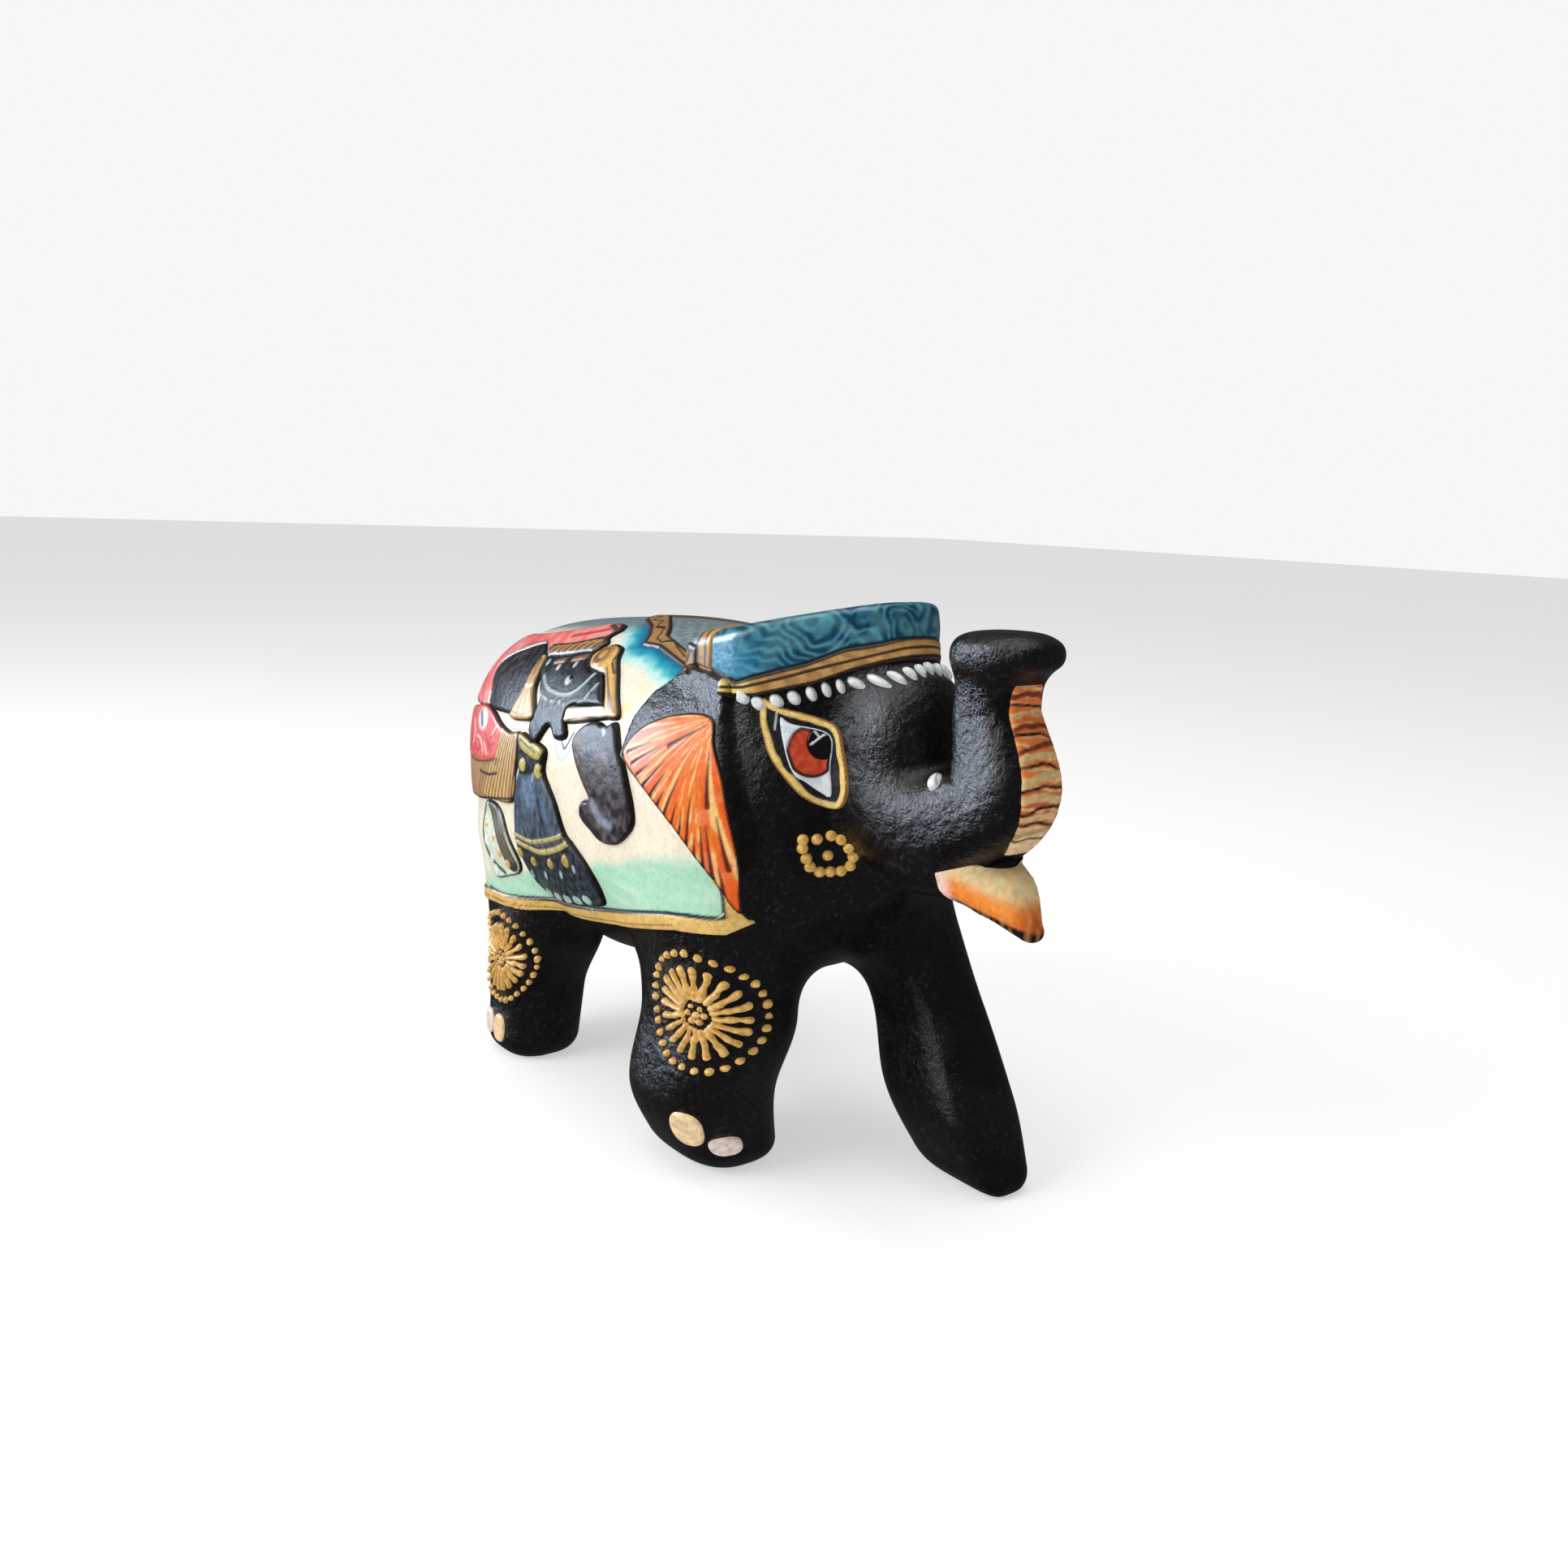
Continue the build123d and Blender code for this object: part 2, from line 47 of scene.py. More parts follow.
# ---------------------------------------------------------------- carved shape, mm
# Rounded lumps as centre, half sizes, and the powers of their lengthwise and cross sections
TORSO = ((0, 13.9, 47.4), (23.7, 40.5, 22.9), 3.4, 2.55)
NECK = ((0, -12.9, 50.0), (16.5, 14.2, 20.4), 2.4, 2.6)
BROW = ((0, -31.0, 59.0), (8.0, 8.0, 10.9), 2.4, 2.4)
SNOUT = ((0, -33.5, 52.0), (7.6, 11.0, 5.3), 2.6, 2.6)
# The head is a block with a slanted facet each side, from its corner to its brow
HEAD_HALF, CORNER_Y = 16.8, -19.2
BROW_HALF, BROW_Y = 3.6, -31.9
FACET_RUN, FACET_FALL = HEAD_HALF - BROW_HALF, CORNER_Y - BROW_Y
FACET_LENGTH = math.hypot(FACET_RUN, FACET_FALL)
FACET_X, FACET_Y = 0.7206, 0.6933  # share of a step along the facet that goes in x and in y
HEAD_REAR = -7.5
CAP_Z, CAP_RISE = 72.8, 0.225
THROAT = ((-37.9, 44.0), (-18.0, 30.2))
HEAD_EDGE = 1.6
LEG_LEVELS = (0, 11, 22, 35)
LEG_TOP = 38.0
FOOT_ROUND, FOOT_INSET = 3.0, 2.4
# Each leg at the four levels: x, y, half width, half length
LEGS = {
    "hind_r": ((-14.1, -13.6, -13.9, -13.3), (37.6, 37.0, 33.2, 33.4),
               (6.4, 6.9, 8.1, 9.3), (7.1, 7.3, 9.0, 10.3)),
    "hind_l": ((14.1, 13.6, 13.9, 13.3), (33.6, 33.0, 29.2, 29.4),
               (6.4, 6.9, 8.1, 9.3), (7.1, 7.3, 9.0, 10.3)),
    "front_r": ((-10.1, -13.4, -12.3, -12.3), (-8.4, -9.1, -11.0, -9.1),
                (7.0, 8.6, 8.6, 9.1), (8.8, 10.2, 11.3, 11.8)),
    "front_l": ((13.6, 12.9, 13.8, 12.8), (-36.4, -30.4, -24.2, -14.1),
                (4.2, 6.6, 6.0, 8.2), (7.3, 8.1, 7.2, 9.2)),
}
LEG_POWER, STRIDING_POWER = 2.7, 4.2  # the striding front leg is squarer than the others
# Paths of the trunk and the lip, as y, z from root to tip, with half widths and half thicknesses
TRUNK = ((-36.0, 50.0), (-43.3, 52.8), (-48.0, 58.1), (-46.0, 66.6), (-46.4, 72.1))
TRUNK_WIDE = (7.3, 7.0, 5.7, 4.5, 4.8)
TRUNK_DEEP = (6.1, 6.2, 5.9, 4.5, 4.2)
TIP = ((-40.5, 72.7), (-53.8, 73.4), 4.9, 2.6)  # rear end, front end, half width, half height
LIP = ((-38.5, 46.4), (-44.8, 46.6), (-49.2, 45.4), (-53.6, 41.9))
LIP_WIDE = (7.2, 5.6, 4.0, 1.4)
LIP_DEEP = (3.6, 3.1, 3.0, 1.1)
EAR = ((-3.3, 55.9), (-3.6, 61.0), (-4.9, 64.4), (-7.6, 66.6), (-10.4, 68.0), (-14.0, 67.6), (-17.4, 66.9),
       (-18.4, 62.4), (-20.7, 57.0), (-23.4, 49.0), (-24.4, 43.0), (-24.2, 38.0), (-20.4, 42.7),
       (-17.6, 45.5), (-14.5, 48.4), (-10.4, 51.4), (-4.8, 55.0))
EAR_RELIEF = 1.3


def smooth_min(a, b, k):
    h = np.clip(0.5 + 0.5 * (b - a) / k, 0, 1)
    return b + (a - b) * h - k * h * (1 - h)


def smooth_max(a, b, k):
    return -smooth_min(-a, -b, k)


def smooth_step(low, high, v):
    t = np.clip((v - low) / (high - low), 0, 1)
    return t * t * (3 - 2 * t)


def curve(t, knots, values):
    """Smooth curve through values at increasing knots, without overshoot."""
    knots = np.asarray(knots, float)
    values = np.asarray(values, float)
    step = np.diff(knots)
    rise = np.diff(values) / step
    slope = np.zeros(len(knots))
    slope[0], slope[-1] = rise[0], rise[-1]
    for i in range(1, len(knots) - 1):
        if rise[i - 1] * rise[i] > 0:
            slope[i] = 2 / (1 / rise[i - 1] + 1 / rise[i])
    t = np.clip(t, knots[0], knots[-1])
    i = np.clip(np.searchsorted(knots, t) - 1, 0, len(knots) - 2)
    u = (t - knots[i]) / step[i]
    ends = values[i] * (1 + 2 * u) * (1 - u) ** 2 + values[i + 1] * u * u * (3 - 2 * u)
    return ends + step[i] * u * (1 - u) * (slope[i] * (1 - u) - slope[i + 1] * u)


def oval(u, v, half_u, half_v, power):
    r = (np.abs(u / half_u) ** power + np.abs(v / half_v) ** power + 1e-12) ** (1 / power)
    return (r - 1) * np.minimum(half_u, half_v)


def blob(x, y, z, form):
    (cx, cy, cz), (rx, ry, rz), along, across = form
    section = np.abs((x - cx) / rx) ** across + np.abs((z - cz) / rz) ** across + 1e-12
    r = (section ** (along / across) + np.abs((y - cy) / ry) ** along) ** (1 / along)
    return (r - 1) * min(rx, ry, rz)


def along_path(y, z, path, samples=32):
    """Share of the path's length and signed distance from it, in the plane of symmetry."""
    knots = np.linspace(0, 1, len(path))
    t = np.linspace(0, 1, samples + 1)
    py = curve(t, knots, [p[0] for p in path])
    pz = curve(t, knots, [p[1] for p in path])
    best = np.full(y.shape, 1e9)
    share = np.zeros(y.shape)
    side = np.zeros(y.shape)
    for i in range(samples):
        dy, dz = py[i + 1] - py[i], pz[i + 1] - pz[i]
        u = np.clip(((y - py[i]) * dy + (z - pz[i]) * dz) / (dy * dy + dz * dz), 0, 1)
        ey, ez = y - py[i] - u * dy, z - pz[i] - u * dz
        d = ey * ey + ez * ez
        near = d < best
        best = np.where(near, d, best)
        share = np.where(near, (i + u) / samples, share)
        side = np.where(near, np.sign(dy * ez - dz * ey) * np.sqrt(d), side)
    return share, side


def outline(u, v, points):
    """Signed distance to a closed outline, positive inside."""
    d = np.full(u.shape, 1e9)
    inside = np.zeros(u.shape, bool)
    for (u0, v0), (u1, v1) in zip(points, points[1:] + points[:1]):
        eu, ev = u1 - u0, v1 - v0
        t = np.clip(((u - u0) * eu + (v - v0) * ev) / (eu * eu + ev * ev + 1e-12), 0, 1)
        d = np.minimum(d, np.hypot(u - u0 - t * eu, v - v0 - t * ev))
        crosses = (v0 > v) != (v1 > v)
        inside ^= crosses & (u < u0 + (v - v0) * eu / (ev if abs(ev) > 1e-12 else 1e-12))
    return np.where(inside, d, -d)


def line(u, v, points):
    """Distance to an open line of straight runs."""
    d = np.full(u.shape, 1e9)
    for (u0, v0), (u1, v1) in zip(points[:-1], points[1:]):
        eu, ev = u1 - u0, v1 - v0
        t = np.clip(((u - u0) * eu + (v - v0) * ev) / (eu * eu + ev * ev + 1e-12), 0, 1)
        d = np.minimum(d, np.hypot(u - u0 - t * eu, v - v0 - t * ev))
    return d


def leg_middle(leg, z):
    """x and y of a leg's middle line at the given heights."""
    return [curve(z, LEG_LEVELS, LEGS[leg][n]) for n in (0, 1)]


def leg_shape(x, y, z, leg):
    cx, cy, wide, deep = (curve(z, LEG_LEVELS, values) for values in LEGS[leg])
    edge = np.clip((FOOT_ROUND - z) / FOOT_ROUND, 0, 1)
    inset = FOOT_INSET * (1 - np.sqrt(1 - edge * edge + 1e-9))
    power = STRIDING_POWER if leg == "front_l" else LEG_POWER
    return smooth_max(oval(x - cx, y - cy, wide - inset, deep - inset, power), z - LEG_TOP, 3.0)


def head_shape(x, y, z):
    side = np.abs(x)
    facet = ((side - HEAD_HALF) * FACET_FALL - (y - CORNER_Y) * FACET_RUN) / FACET_LENGTH
    d = smooth_max(side - HEAD_HALF, facet, HEAD_EDGE)
    below_cap = 1 / (1 + np.exp(np.clip((z - 69.5) / 0.8, -30, 30)))
    lean = 0.16 * (77 - z) + below_cap - 0.7 * smooth_step(71, 74, z)
    d = smooth_max(d, BROW_Y - lean - y, HEAD_EDGE)
    d = smooth_max(d, y - HEAD_REAR, 1.6)
    d = smooth_max(d, z - CAP_Z - CAP_RISE * (-10 - y) + 0.0035 * side * side, HEAD_EDGE)
    (y0, z0), (y1, z1) = THROAT
    span = math.hypot(y1 - y0, z1 - z0)
    throat = ((y - y0) * (z1 - z0) - (z - z0) * (y1 - y0)) / span
    return smooth_max(d, throat, 4.0)


def trunk_shape(x, y, z):
    knots = np.linspace(0, 1, len(TRUNK))
    share, side = along_path(y, z, TRUNK, 40)
    d = oval(x, side, curve(share, knots, TRUNK_WIDE), curve(share, knots, TRUNK_DEEP), 3.0)
    d = smooth_max(d, z - TRUNK[-1][1] - 2.0, 1.0)
    (y0, z0), (y1, z1), wide, high = TIP
    ty, tz = y1 - y0, z1 - z0
    span = math.hypot(ty, tz)
    u = ((y - y0) * ty + (z - z0) * tz) / span - span / 2
    v = (-(y - y0) * tz + (z - z0) * ty) / span
    tip = blob(x, u, v, ((0, 0, 0), (wide, span / 2, high), 2.6, 2.4))
    d = smooth_min(d, tip, 2.0)
    share, side = along_path(y, z, LIP, 16)
    knots = np.linspace(0, 1, len(LIP))
    lip = oval(x, side, curve(share, knots, LIP_WIDE), curve(share, knots, LIP_DEEP), 2.2)
    return d, lip


def body_shape(x, y, z):
    """Pseudo distance to the carved block without its trunk."""
    crown = 0.7 * np.exp(-(((y - 15) / 13) ** 2)) * smooth_step(60, 70, z)
    belly = 2.4 * np.exp(-(((y - 13) / 10) ** 2)) * smooth_step(42, 28, z)
    d = blob(x, y, z - crown + belly, TORSO)
    d = smooth_min(d, blob(x, y, z, NECK), 5.0)
    d = smooth_min(d, head_shape(x, y, z), 1.6)
    for leg in LEGS:
        d = smooth_min(d, leg_shape(x, y, z, leg), 4.0)
    ear = np.minimum(outline(y, z, list(EAR)), np.abs(x) - 8.0)
    return smooth_min(d, smooth_max(d - EAR_RELIEF, -ear, 0.5), 0.35)


def elephant(x, y, z):
    """Pseudo distance to the whole carved block, negative inside."""
    d = body_shape(x, y, z)
    front = y < -22
    xf, yf, zf = x[front], y[front], z[front]
    head = smooth_min(d[front], blob(xf, yf, zf, BROW), 2.5)
    head = smooth_min(head, blob(xf, yf, zf, SNOUT), 3.0)
    trunk, lip = trunk_shape(xf, yf, zf)
    d[front] = smooth_min(smooth_min(head, trunk, 2.5), lip, 1.0)
    return np.maximum(d, -z)


# ---------------------------------------------------------------- meshes
def surface_net(low, high, pitch):
    """Quad mesh of the elephant's surface inside a box."""
    axes = [np.arange(a, b + pitch / 2, pitch) for a, b in zip(low, high)]
    shape = tuple(len(axis) for axis in axes)
    field = np.empty(shape)
    yy, zz = np.meshgrid(axes[1], axes[2], indexing="ij")
    for i, x in enumerate(axes[0]):
        field[i] = elephant(np.full(yy.shape, x), yy.copy(), zz.copy())
    inside = field < 0
    cells = tuple(n - 1 for n in shape)
    total = np.zeros(cells + (3,))
    count = np.zeros(cells)
    corners = [(i, j, k) for i in (0, 1) for j in (0, 1) for k in (0, 1)]
    for a in corners:
        for axis in range(3):
            if a[axis]:
                continue
            b = tuple(v + (n == axis) for n, v in enumerate(a))
            fa = field[tuple(slice(v, v + n) for v, n in zip(a, cells))]
            fb = field[tuple(slice(v, v + n) for v, n in zip(b, cells))]
            cut = (fa < 0) != (fb < 0)
            t = np.where(cut, fa / np.where(cut, fa - fb, 1), 0)
            for n in range(3):
                total[..., n] += np.where(cut, a[n] + (t if n == axis else 0), 0)
            count += cut
    used = count > 0
    index = np.full(cells, -1)
    index[used] = np.arange(used.sum())
    at = np.argwhere(used)
    points = (at + total[used] / count[used][:, None]) * pitch + np.array(low)
    quads = []
    for axis in range(3):
        u, v = [n for n in range(3) if n != axis]
        near = [slice(1, -1)] * 3
        far = [slice(1, -1)] * 3
        near[axis], far[axis] = slice(0, -1), slice(1, None)
        a, b = inside[tuple(near)], inside[tuple(far)]
        edge = np.argwhere(a != b)
        start = edge + 1
        start[:, axis] -= 1
        out = a[tuple(edge.T)]
        ring = []
        for du, dv in ((0, 0), (1, 0), (1, 1), (0, 1)):
            cell = start.copy()
            cell[:, u] -= du
            cell[:, v] -= dv
            ring.append(index[tuple(cell.T)])
        ring = np.stack(ring, 1)
        turn = out if axis != 1 else ~out
        ring[~turn] = ring[~turn][:, ::-1]
        quads.append(ring)
    return points, np.concatenate(quads)


def gradient(points):
    """Unit outward normals of the carved surface, and how fast its distance grows along them."""
    h = 0.05
    n = np.empty_like(points)
    for axis in range(3):
        step = np.zeros(3)
        step[axis] = h
        ahead, behind = points + step, points - step
        n[:, axis] = elephant(*ahead.T) - elephant(*behind.T)
    size = np.linalg.norm(n, axis=1, keepdims=True)
    return n / np.maximum(size, 1e-9), size[:, 0] / (2 * h)


def settle(points, rounds=2):
    """Move points onto the carved surface; also returns the normals there."""
    for _ in range(rounds):
        normal, slope = gradient(points)
        step = np.clip(elephant(*points.T) / np.maximum(slope, 0.2), -0.5, 0.5)
        points = points - normal * step[:, None]
    return points, gradient(points)[0]


def mesh_object(name, points, quads, colours=None):
    mesh = bpy.data.meshes.new(name)
    mesh.vertices.add(len(points))
    mesh.vertices.foreach_set("co", (np.asarray(points) * MM).astype(np.float32).ravel())
    mesh.loops.add(len(quads) * 4)
    mesh.loops.foreach_set("vertex_index", np.asarray(quads).astype(np.int32).ravel())
    mesh.polygons.add(len(quads))
    mesh.polygons.foreach_set("loop_start", np.arange(0, len(quads) * 4, 4, dtype=np.int32))
    mesh.polygons.foreach_set("use_smooth", np.ones(len(quads), bool))
    mesh.update(calc_edges=True)
    if colours is not None:
        rgba = np.ones((len(points), 4), np.float32)
        rgba[:, :3] = colours
        mesh.color_attributes.new("paint", "FLOAT_COLOR", "POINT")
        mesh.color_attributes["paint"].data.foreach_set("color", rgba.ravel())
    obj = bpy.data.objects.new(name, mesh)
    bpy.context.scene.collection.objects.link(obj)
    return obj


# ---------------------------------------------------------------- sheets of points draped on the carving
SKIN_BOX, SKIN_PITCH = ((-26, -58, -1), (26, 58, 80)), 0.5
SKIN_POINTS, SKIN_QUADS = surface_net(*SKIN_BOX, SKIN_PITCH)
SKIN_POINTS = settle(SKIN_POINTS)[0]
SKIN_POINTS[:, 2] = np.maximum(SKIN_POINTS[:, 2], 0)
SKIN_TREE = BVHTree.FromPolygons(SKIN_POINTS.tolist(), SKIN_QUADS.tolist())
PITCH = 0.17
BARREL = 24.0  # mm of surface per radian round the torso's axis
BARREL_Z = 50.0
# mm from which rays are shot at the carving
BARREL_REACH, PLATE_REACH, LEG_REACH = 45, 14, 15


def drape(starts, ways):
    """Shoot each start along its way at the carving: settled points, normals, and where they hit."""
    flat = starts.reshape(-1, 3)
    ways = np.broadcast_to(ways, starts.shape).reshape(-1, 3)
    hits = [SKIN_TREE.ray_cast(Vector(a), Vector(w))[0] for a, w in zip(flat, ways)]
    valid = np.array([hit is not None for hit in hits])
    points = np.array([hit if hit is not None else (0, 0, 50) for hit in hits], float)
    normals = np.zeros_like(points)
    points[valid], normals[valid] = settle(points[valid], 1)
    shape = starts.shape[:2]
    return points.reshape(shape + (3,)), normals.reshape(shape + (3,)), valid.reshape(shape)


def barrel_sheet():
    """Sheet right round the torso and the back, from one flank over the spine to the other."""
    y = np.arange(-26, 50.5, PITCH)
    turn = np.arange(-52 * math.pi / 180, 232 * math.pi / 180, PITCH / BARREL)
    yy, tt = np.meshgrid(y, turn, indexing="ij")
    out = np.stack([-np.cos(tt), np.zeros(yy.shape), np.sin(tt)], -1)
    starts = out * BARREL_REACH + np.stack([0 * yy, yy, 0 * yy + BARREL_Z], -1)
    return drape(starts, -out)


def dome_sheet(centre, low, high, pitch_angle, sweep=(0, 360), reach=45):
    """Sheet seen from round a centre: azimuth from +X over the sweep, elevation from low to high."""
    azimuth = np.radians(np.arange(sweep[0], sweep[1] + pitch_angle, pitch_angle))
    rise = np.radians(np.arange(low, high, pitch_angle))
    aa, rr = np.meshgrid(azimuth, rise, indexing="ij")
    out = np.stack([np.cos(aa) * np.cos(rr), np.sin(aa) * np.cos(rr), np.sin(rr)], -1)
    return drape(out * reach + np.array(centre), -out)


def plate_sheet(origin, u_way, v_way, out, u_range, v_range, pitch):
    """Flat sheet of rays, shot against the way it faces onto the carving."""
    u_way, v_way, out = np.array(u_way, float), np.array(v_way, float), np.array(out, float)
    uu, vv = np.meshgrid(np.arange(*u_range, pitch), np.arange(*v_range, pitch), indexing="ij")
    starts = np.array(origin, float) + uu[..., None] * u_way + vv[..., None] * v_way + out * PLATE_REACH
    return drape(starts, -out)


def leg_sheet(leg, facing, spread, low, high, pitch):
    """Sheet round a leg: facing is the middle azimuth in degrees, spread how far it goes each way."""
    turn = np.radians(np.arange(facing - spread, facing + spread, pitch * 6.5))
    level = np.arange(low, high, pitch)
    tt, zz = np.meshgrid(turn, level, indexing="ij")
    cx, cy = leg_middle(leg, zz)
    out = np.stack([np.cos(tt), np.sin(tt), 0 * tt], -1)
    return drape(np.stack([cx, cy, zz], -1) + out * LEG_REACH, -out)


# ---------------------------------------------------------------- painting
def rgb(r, g, b):
    """Linear colour from screen values of 0 to 255."""
    c = np.array((r, g, b)) / 255
    return np.where(c <= 0.04045, c / 12.92, ((c + 0.055) / 1.055) ** 2.4)


INK = rgb(30, 22, 18)
BLACK = rgb(34, 33, 38)
GOLD = rgb(236, 196, 110)
GOLD_DEEP = rgb(196, 140, 66)
BROWN = rgb(104, 66, 30)
CREAM = rgb(238, 228, 208)
MINT = rgb(158, 214, 184)
SKY_DEEP = rgb(0, 104, 150)
SKY = rgb(40, 165, 185)
SKY_PALE = rgb(170, 228, 226)
CORAL = rgb(236, 104, 104)
CORAL_PALE = rgb(250, 192, 182)
TEAL_INK = rgb(30, 66, 76)
ICE = rgb(214, 232, 234)
YELLOW = rgb(240, 222, 136)
BLUE_GREY = rgb(92, 112, 138)
ORANGE = rgb(232, 118, 34)
WHITE = rgb(236, 240, 238)


BOW_STEPS = 6  # points per run of a smooth line


def bow(points):
    """Smooth line through a few points."""
    p = [points[0], *points, points[-1]]
    out = []
    for a, b, c, d in zip(p, p[1:], p[2:], p[3:]):
        for i in range(BOW_STEPS):
            t = i / BOW_STEPS
            out.append(tuple(0.5 * (2 * vb + (vc - va) * t + (2 * va - 5 * vb + 4 * vc - vd) * t * t
                                    + (3 * vb - va - 3 * vc + vd) * t**3)
                             for va, vb, vc, vd in zip(a, b, c, d)))
    return out + [points[-1]]


def ring_round(points):
    """Smooth closed outline through a few points."""
    around = bow([points[-1], *points, points[0], points[1]])
    return around[BOW_STEPS:BOW_STEPS * (len(points) + 1)]


def ripple(u, v, size, seed, stretch=1.0, turn=0.0):
    """Soft random waves of about the given size, between -1 and 1."""
    rng = np.random.default_rng(seed)
    cu, cv = math.cos(turn), math.sin(turn)
    a, b = (u * cu + v * cv) / stretch, -u * cv + v * cu
    total = np.zeros(u.shape)
    for _ in range(9):
        angle, phase = rng.uniform(0, 2 * math.pi, 2)
        k = 2 * math.pi / size * rng.uniform(0.6, 1.7)
        total += np.sin(k * (a * math.cos(angle) + b * math.sin(angle)) + phase)
    return np.clip(total / 3.6, -1, 1)


class Coat:
    """Colour and height over settled points, built up stroke by stroke."""

    def __init__(self, u, v, colour):
        self.u, self.v = u, v
        self.colour = np.zeros(u.shape + (3,)) + colour
        self.high = np.zeros(u.shape)

    def wash(self, amount, colour):
        self.colour += (colour - self.colour) * np.clip(amount, 0, 1)[..., None]

    def cover(self, d, colour, high, soft):
        self.wash(0.5 + d / soft, colour)
        self.high += high * smooth_step(-0.05, 0.3, d)

    def area(self, points, colour, high=0.0, soft=0.14):
        self.cover(outline(self.u, self.v, ring_round(points)), colour, high, soft)

    def stroke(self, points, width, colour, high=0.0, soft=0.14, taper=False):
        half = width / 2
        if taper:
            (u0, v0), (u1, v1) = points[0], points[-1]
            span = (u1 - u0) ** 2 + (v1 - v0) ** 2
            share = ((self.u - u0) * (u1 - u0) + (self.v - v0) * (v1 - v0)) / span
            half = half * (1.1 - 0.9 * np.clip(share, 0, 1))
        self.cover(half - line(self.u, self.v, bow(points)), colour, high, soft)

    def dot(self, centre, radius, colour, high=0.0, soft=0.14, squash=1.0):
        d = radius - np.hypot(self.u - centre[0], (self.v - centre[1]) / squash)
        self.cover(d, colour, high, soft)

    def rule(self, d, outer, inner, colour):
        """Line where d is near zero, full within inner and gone beyond outer."""
        self.wash(smooth_step(outer, inner, np.abs(d)), colour)

    def mottle(self, size, seed, amount, colour, stretch=1.0, turn=0.0):
        self.wash(amount * np.clip(0.5 + ripple(self.u, self.v, size, seed, stretch, turn), 0, 1), colour)


MARGIN = 0.35  # how far past its outline a coat's mesh goes
DIVE = 0.3  # depth at which its rim ends in the wood
WIDEST_CELL = 2.2  # longer cells bridge a gap in the sheet and are left out


def coat_mesh(name, sheet, keep, coat, base, rise, edge):
    """Mesh of a coat where keep, the distance inside its outline, is positive.

    It stands base above the wood, rises over its edge by rise, and its rim dives into the wood."""
    points, normals, valid = sheet
    keep = np.where(valid, keep, -9)
    up = smooth_step(-0.22, 0.02, keep)
    round_off = np.sqrt(1 - (1 - np.clip(keep / edge, 0, 1)) ** 2)
    lift = (base + rise * round_off + coat.high * (keep > 0)) * up - DIVE * (1 - up)
    shown = keep > -MARGIN
    cell = shown[:-1, :-1] & shown[1:, :-1] & shown[:-1, 1:] & shown[1:, 1:]
    gap = np.linalg.norm(points[1:, 1:] - points[:-1, :-1], axis=-1)
    cell &= gap < WIDEST_CELL
    index = np.arange(keep.size).reshape(keep.shape)
    i, j = np.nonzero(cell)
    quads = np.stack([index[i, j], index[i + 1, j], index[i + 1, j + 1], index[i, j + 1]], 1)
    used, inverse = np.unique(quads, return_inverse=True)
    quads = inverse.reshape(-1, 4)
    flat_points = points.reshape(-1, 3)[used]
    flat_normals = normals.reshape(-1, 3)[used]
    a, b, c = (flat_points[quads[:, n]] for n in (0, 1, 3))
    facing = np.einsum("ij,ij->i", np.cross(b - a, c - a), flat_normals[quads[:, 0]])
    if np.median(facing) < 0:
        quads = quads[:, ::-1]
    moved = flat_points + flat_normals * lift.reshape(-1)[used][:, None]
    return mesh_object(f"{name}_coat", moved, quads, coat.colour.reshape(-1, 3)[used])


# ---------------------------------------------------------------- materials
def node_material(name):
    material = bpy.data.materials.new(name)
    material.use_nodes = True
    nodes, links = material.node_tree.nodes, material.node_tree.links
    return material, nodes, links, nodes["Principled BSDF"]


def noise(nodes, links, scale, detail=4.0, rough=0.6):
    """Noise over the object's own coordinates, in units of one over the feature size in metres."""
    where = nodes.get("where") or nodes.new("ShaderNodeTexCoord")
    where.name = "where"
    texture = nodes.new("ShaderNodeTexNoise")
    texture.inputs["Scale"].default_value = scale
    texture.inputs["Detail"].default_value = detail
    texture.inputs["Roughness"].default_value = rough
    links.new(where.outputs["Object"], texture.inputs["Vector"])
    return texture.outputs["Fac"]


def ramp(nodes, links, factor, stops):
    node = nodes.new("ShaderNodeValToRGB")
    elements = node.color_ramp.elements
    while len(elements) < len(stops):
        elements.new(0.5)
    for element, (place, colour) in zip(elements, stops):
        element.position = place
        element.color = (*colour, 1) if len(colour) == 3 else colour
    links.new(factor, node.inputs["Fac"])
    return node.outputs["Color"]


def bump(nodes, links, factor, strength, distance, below=None):
    node = nodes.new("ShaderNodeBump")
    node.inputs["Strength"].default_value = strength
    node.inputs["Distance"].default_value = distance
    links.new(factor, node.inputs["Height"])
    if below is not None:
        links.new(below, node.inputs["Normal"])
    return node.outputs["Normal"]


def map_range(nodes, links, factor, low, high):
    node = nodes.new("ShaderNodeMapRange")
    node.inputs["To Min"].default_value = low
    node.inputs["To Max"].default_value = high
    links.new(factor, node.inputs["Value"])
    return node.outputs["Result"]


def mix(nodes, links, blend, factor, a, b):
    node = nodes.new("ShaderNodeMix")
    node.data_type, node.blend_type = "RGBA", blend
    if isinstance(factor, float):
        node.inputs["Factor"].default_value = factor
    else:
        links.new(factor, node.inputs["Factor"])
    for socket, value in ((node.inputs[6], a), (node.inputs[7], b)):
        if isinstance(value, tuple):
            socket.default_value = (*value, 1)
        else:
            links.new(value, socket)
    return node.outputs[2]


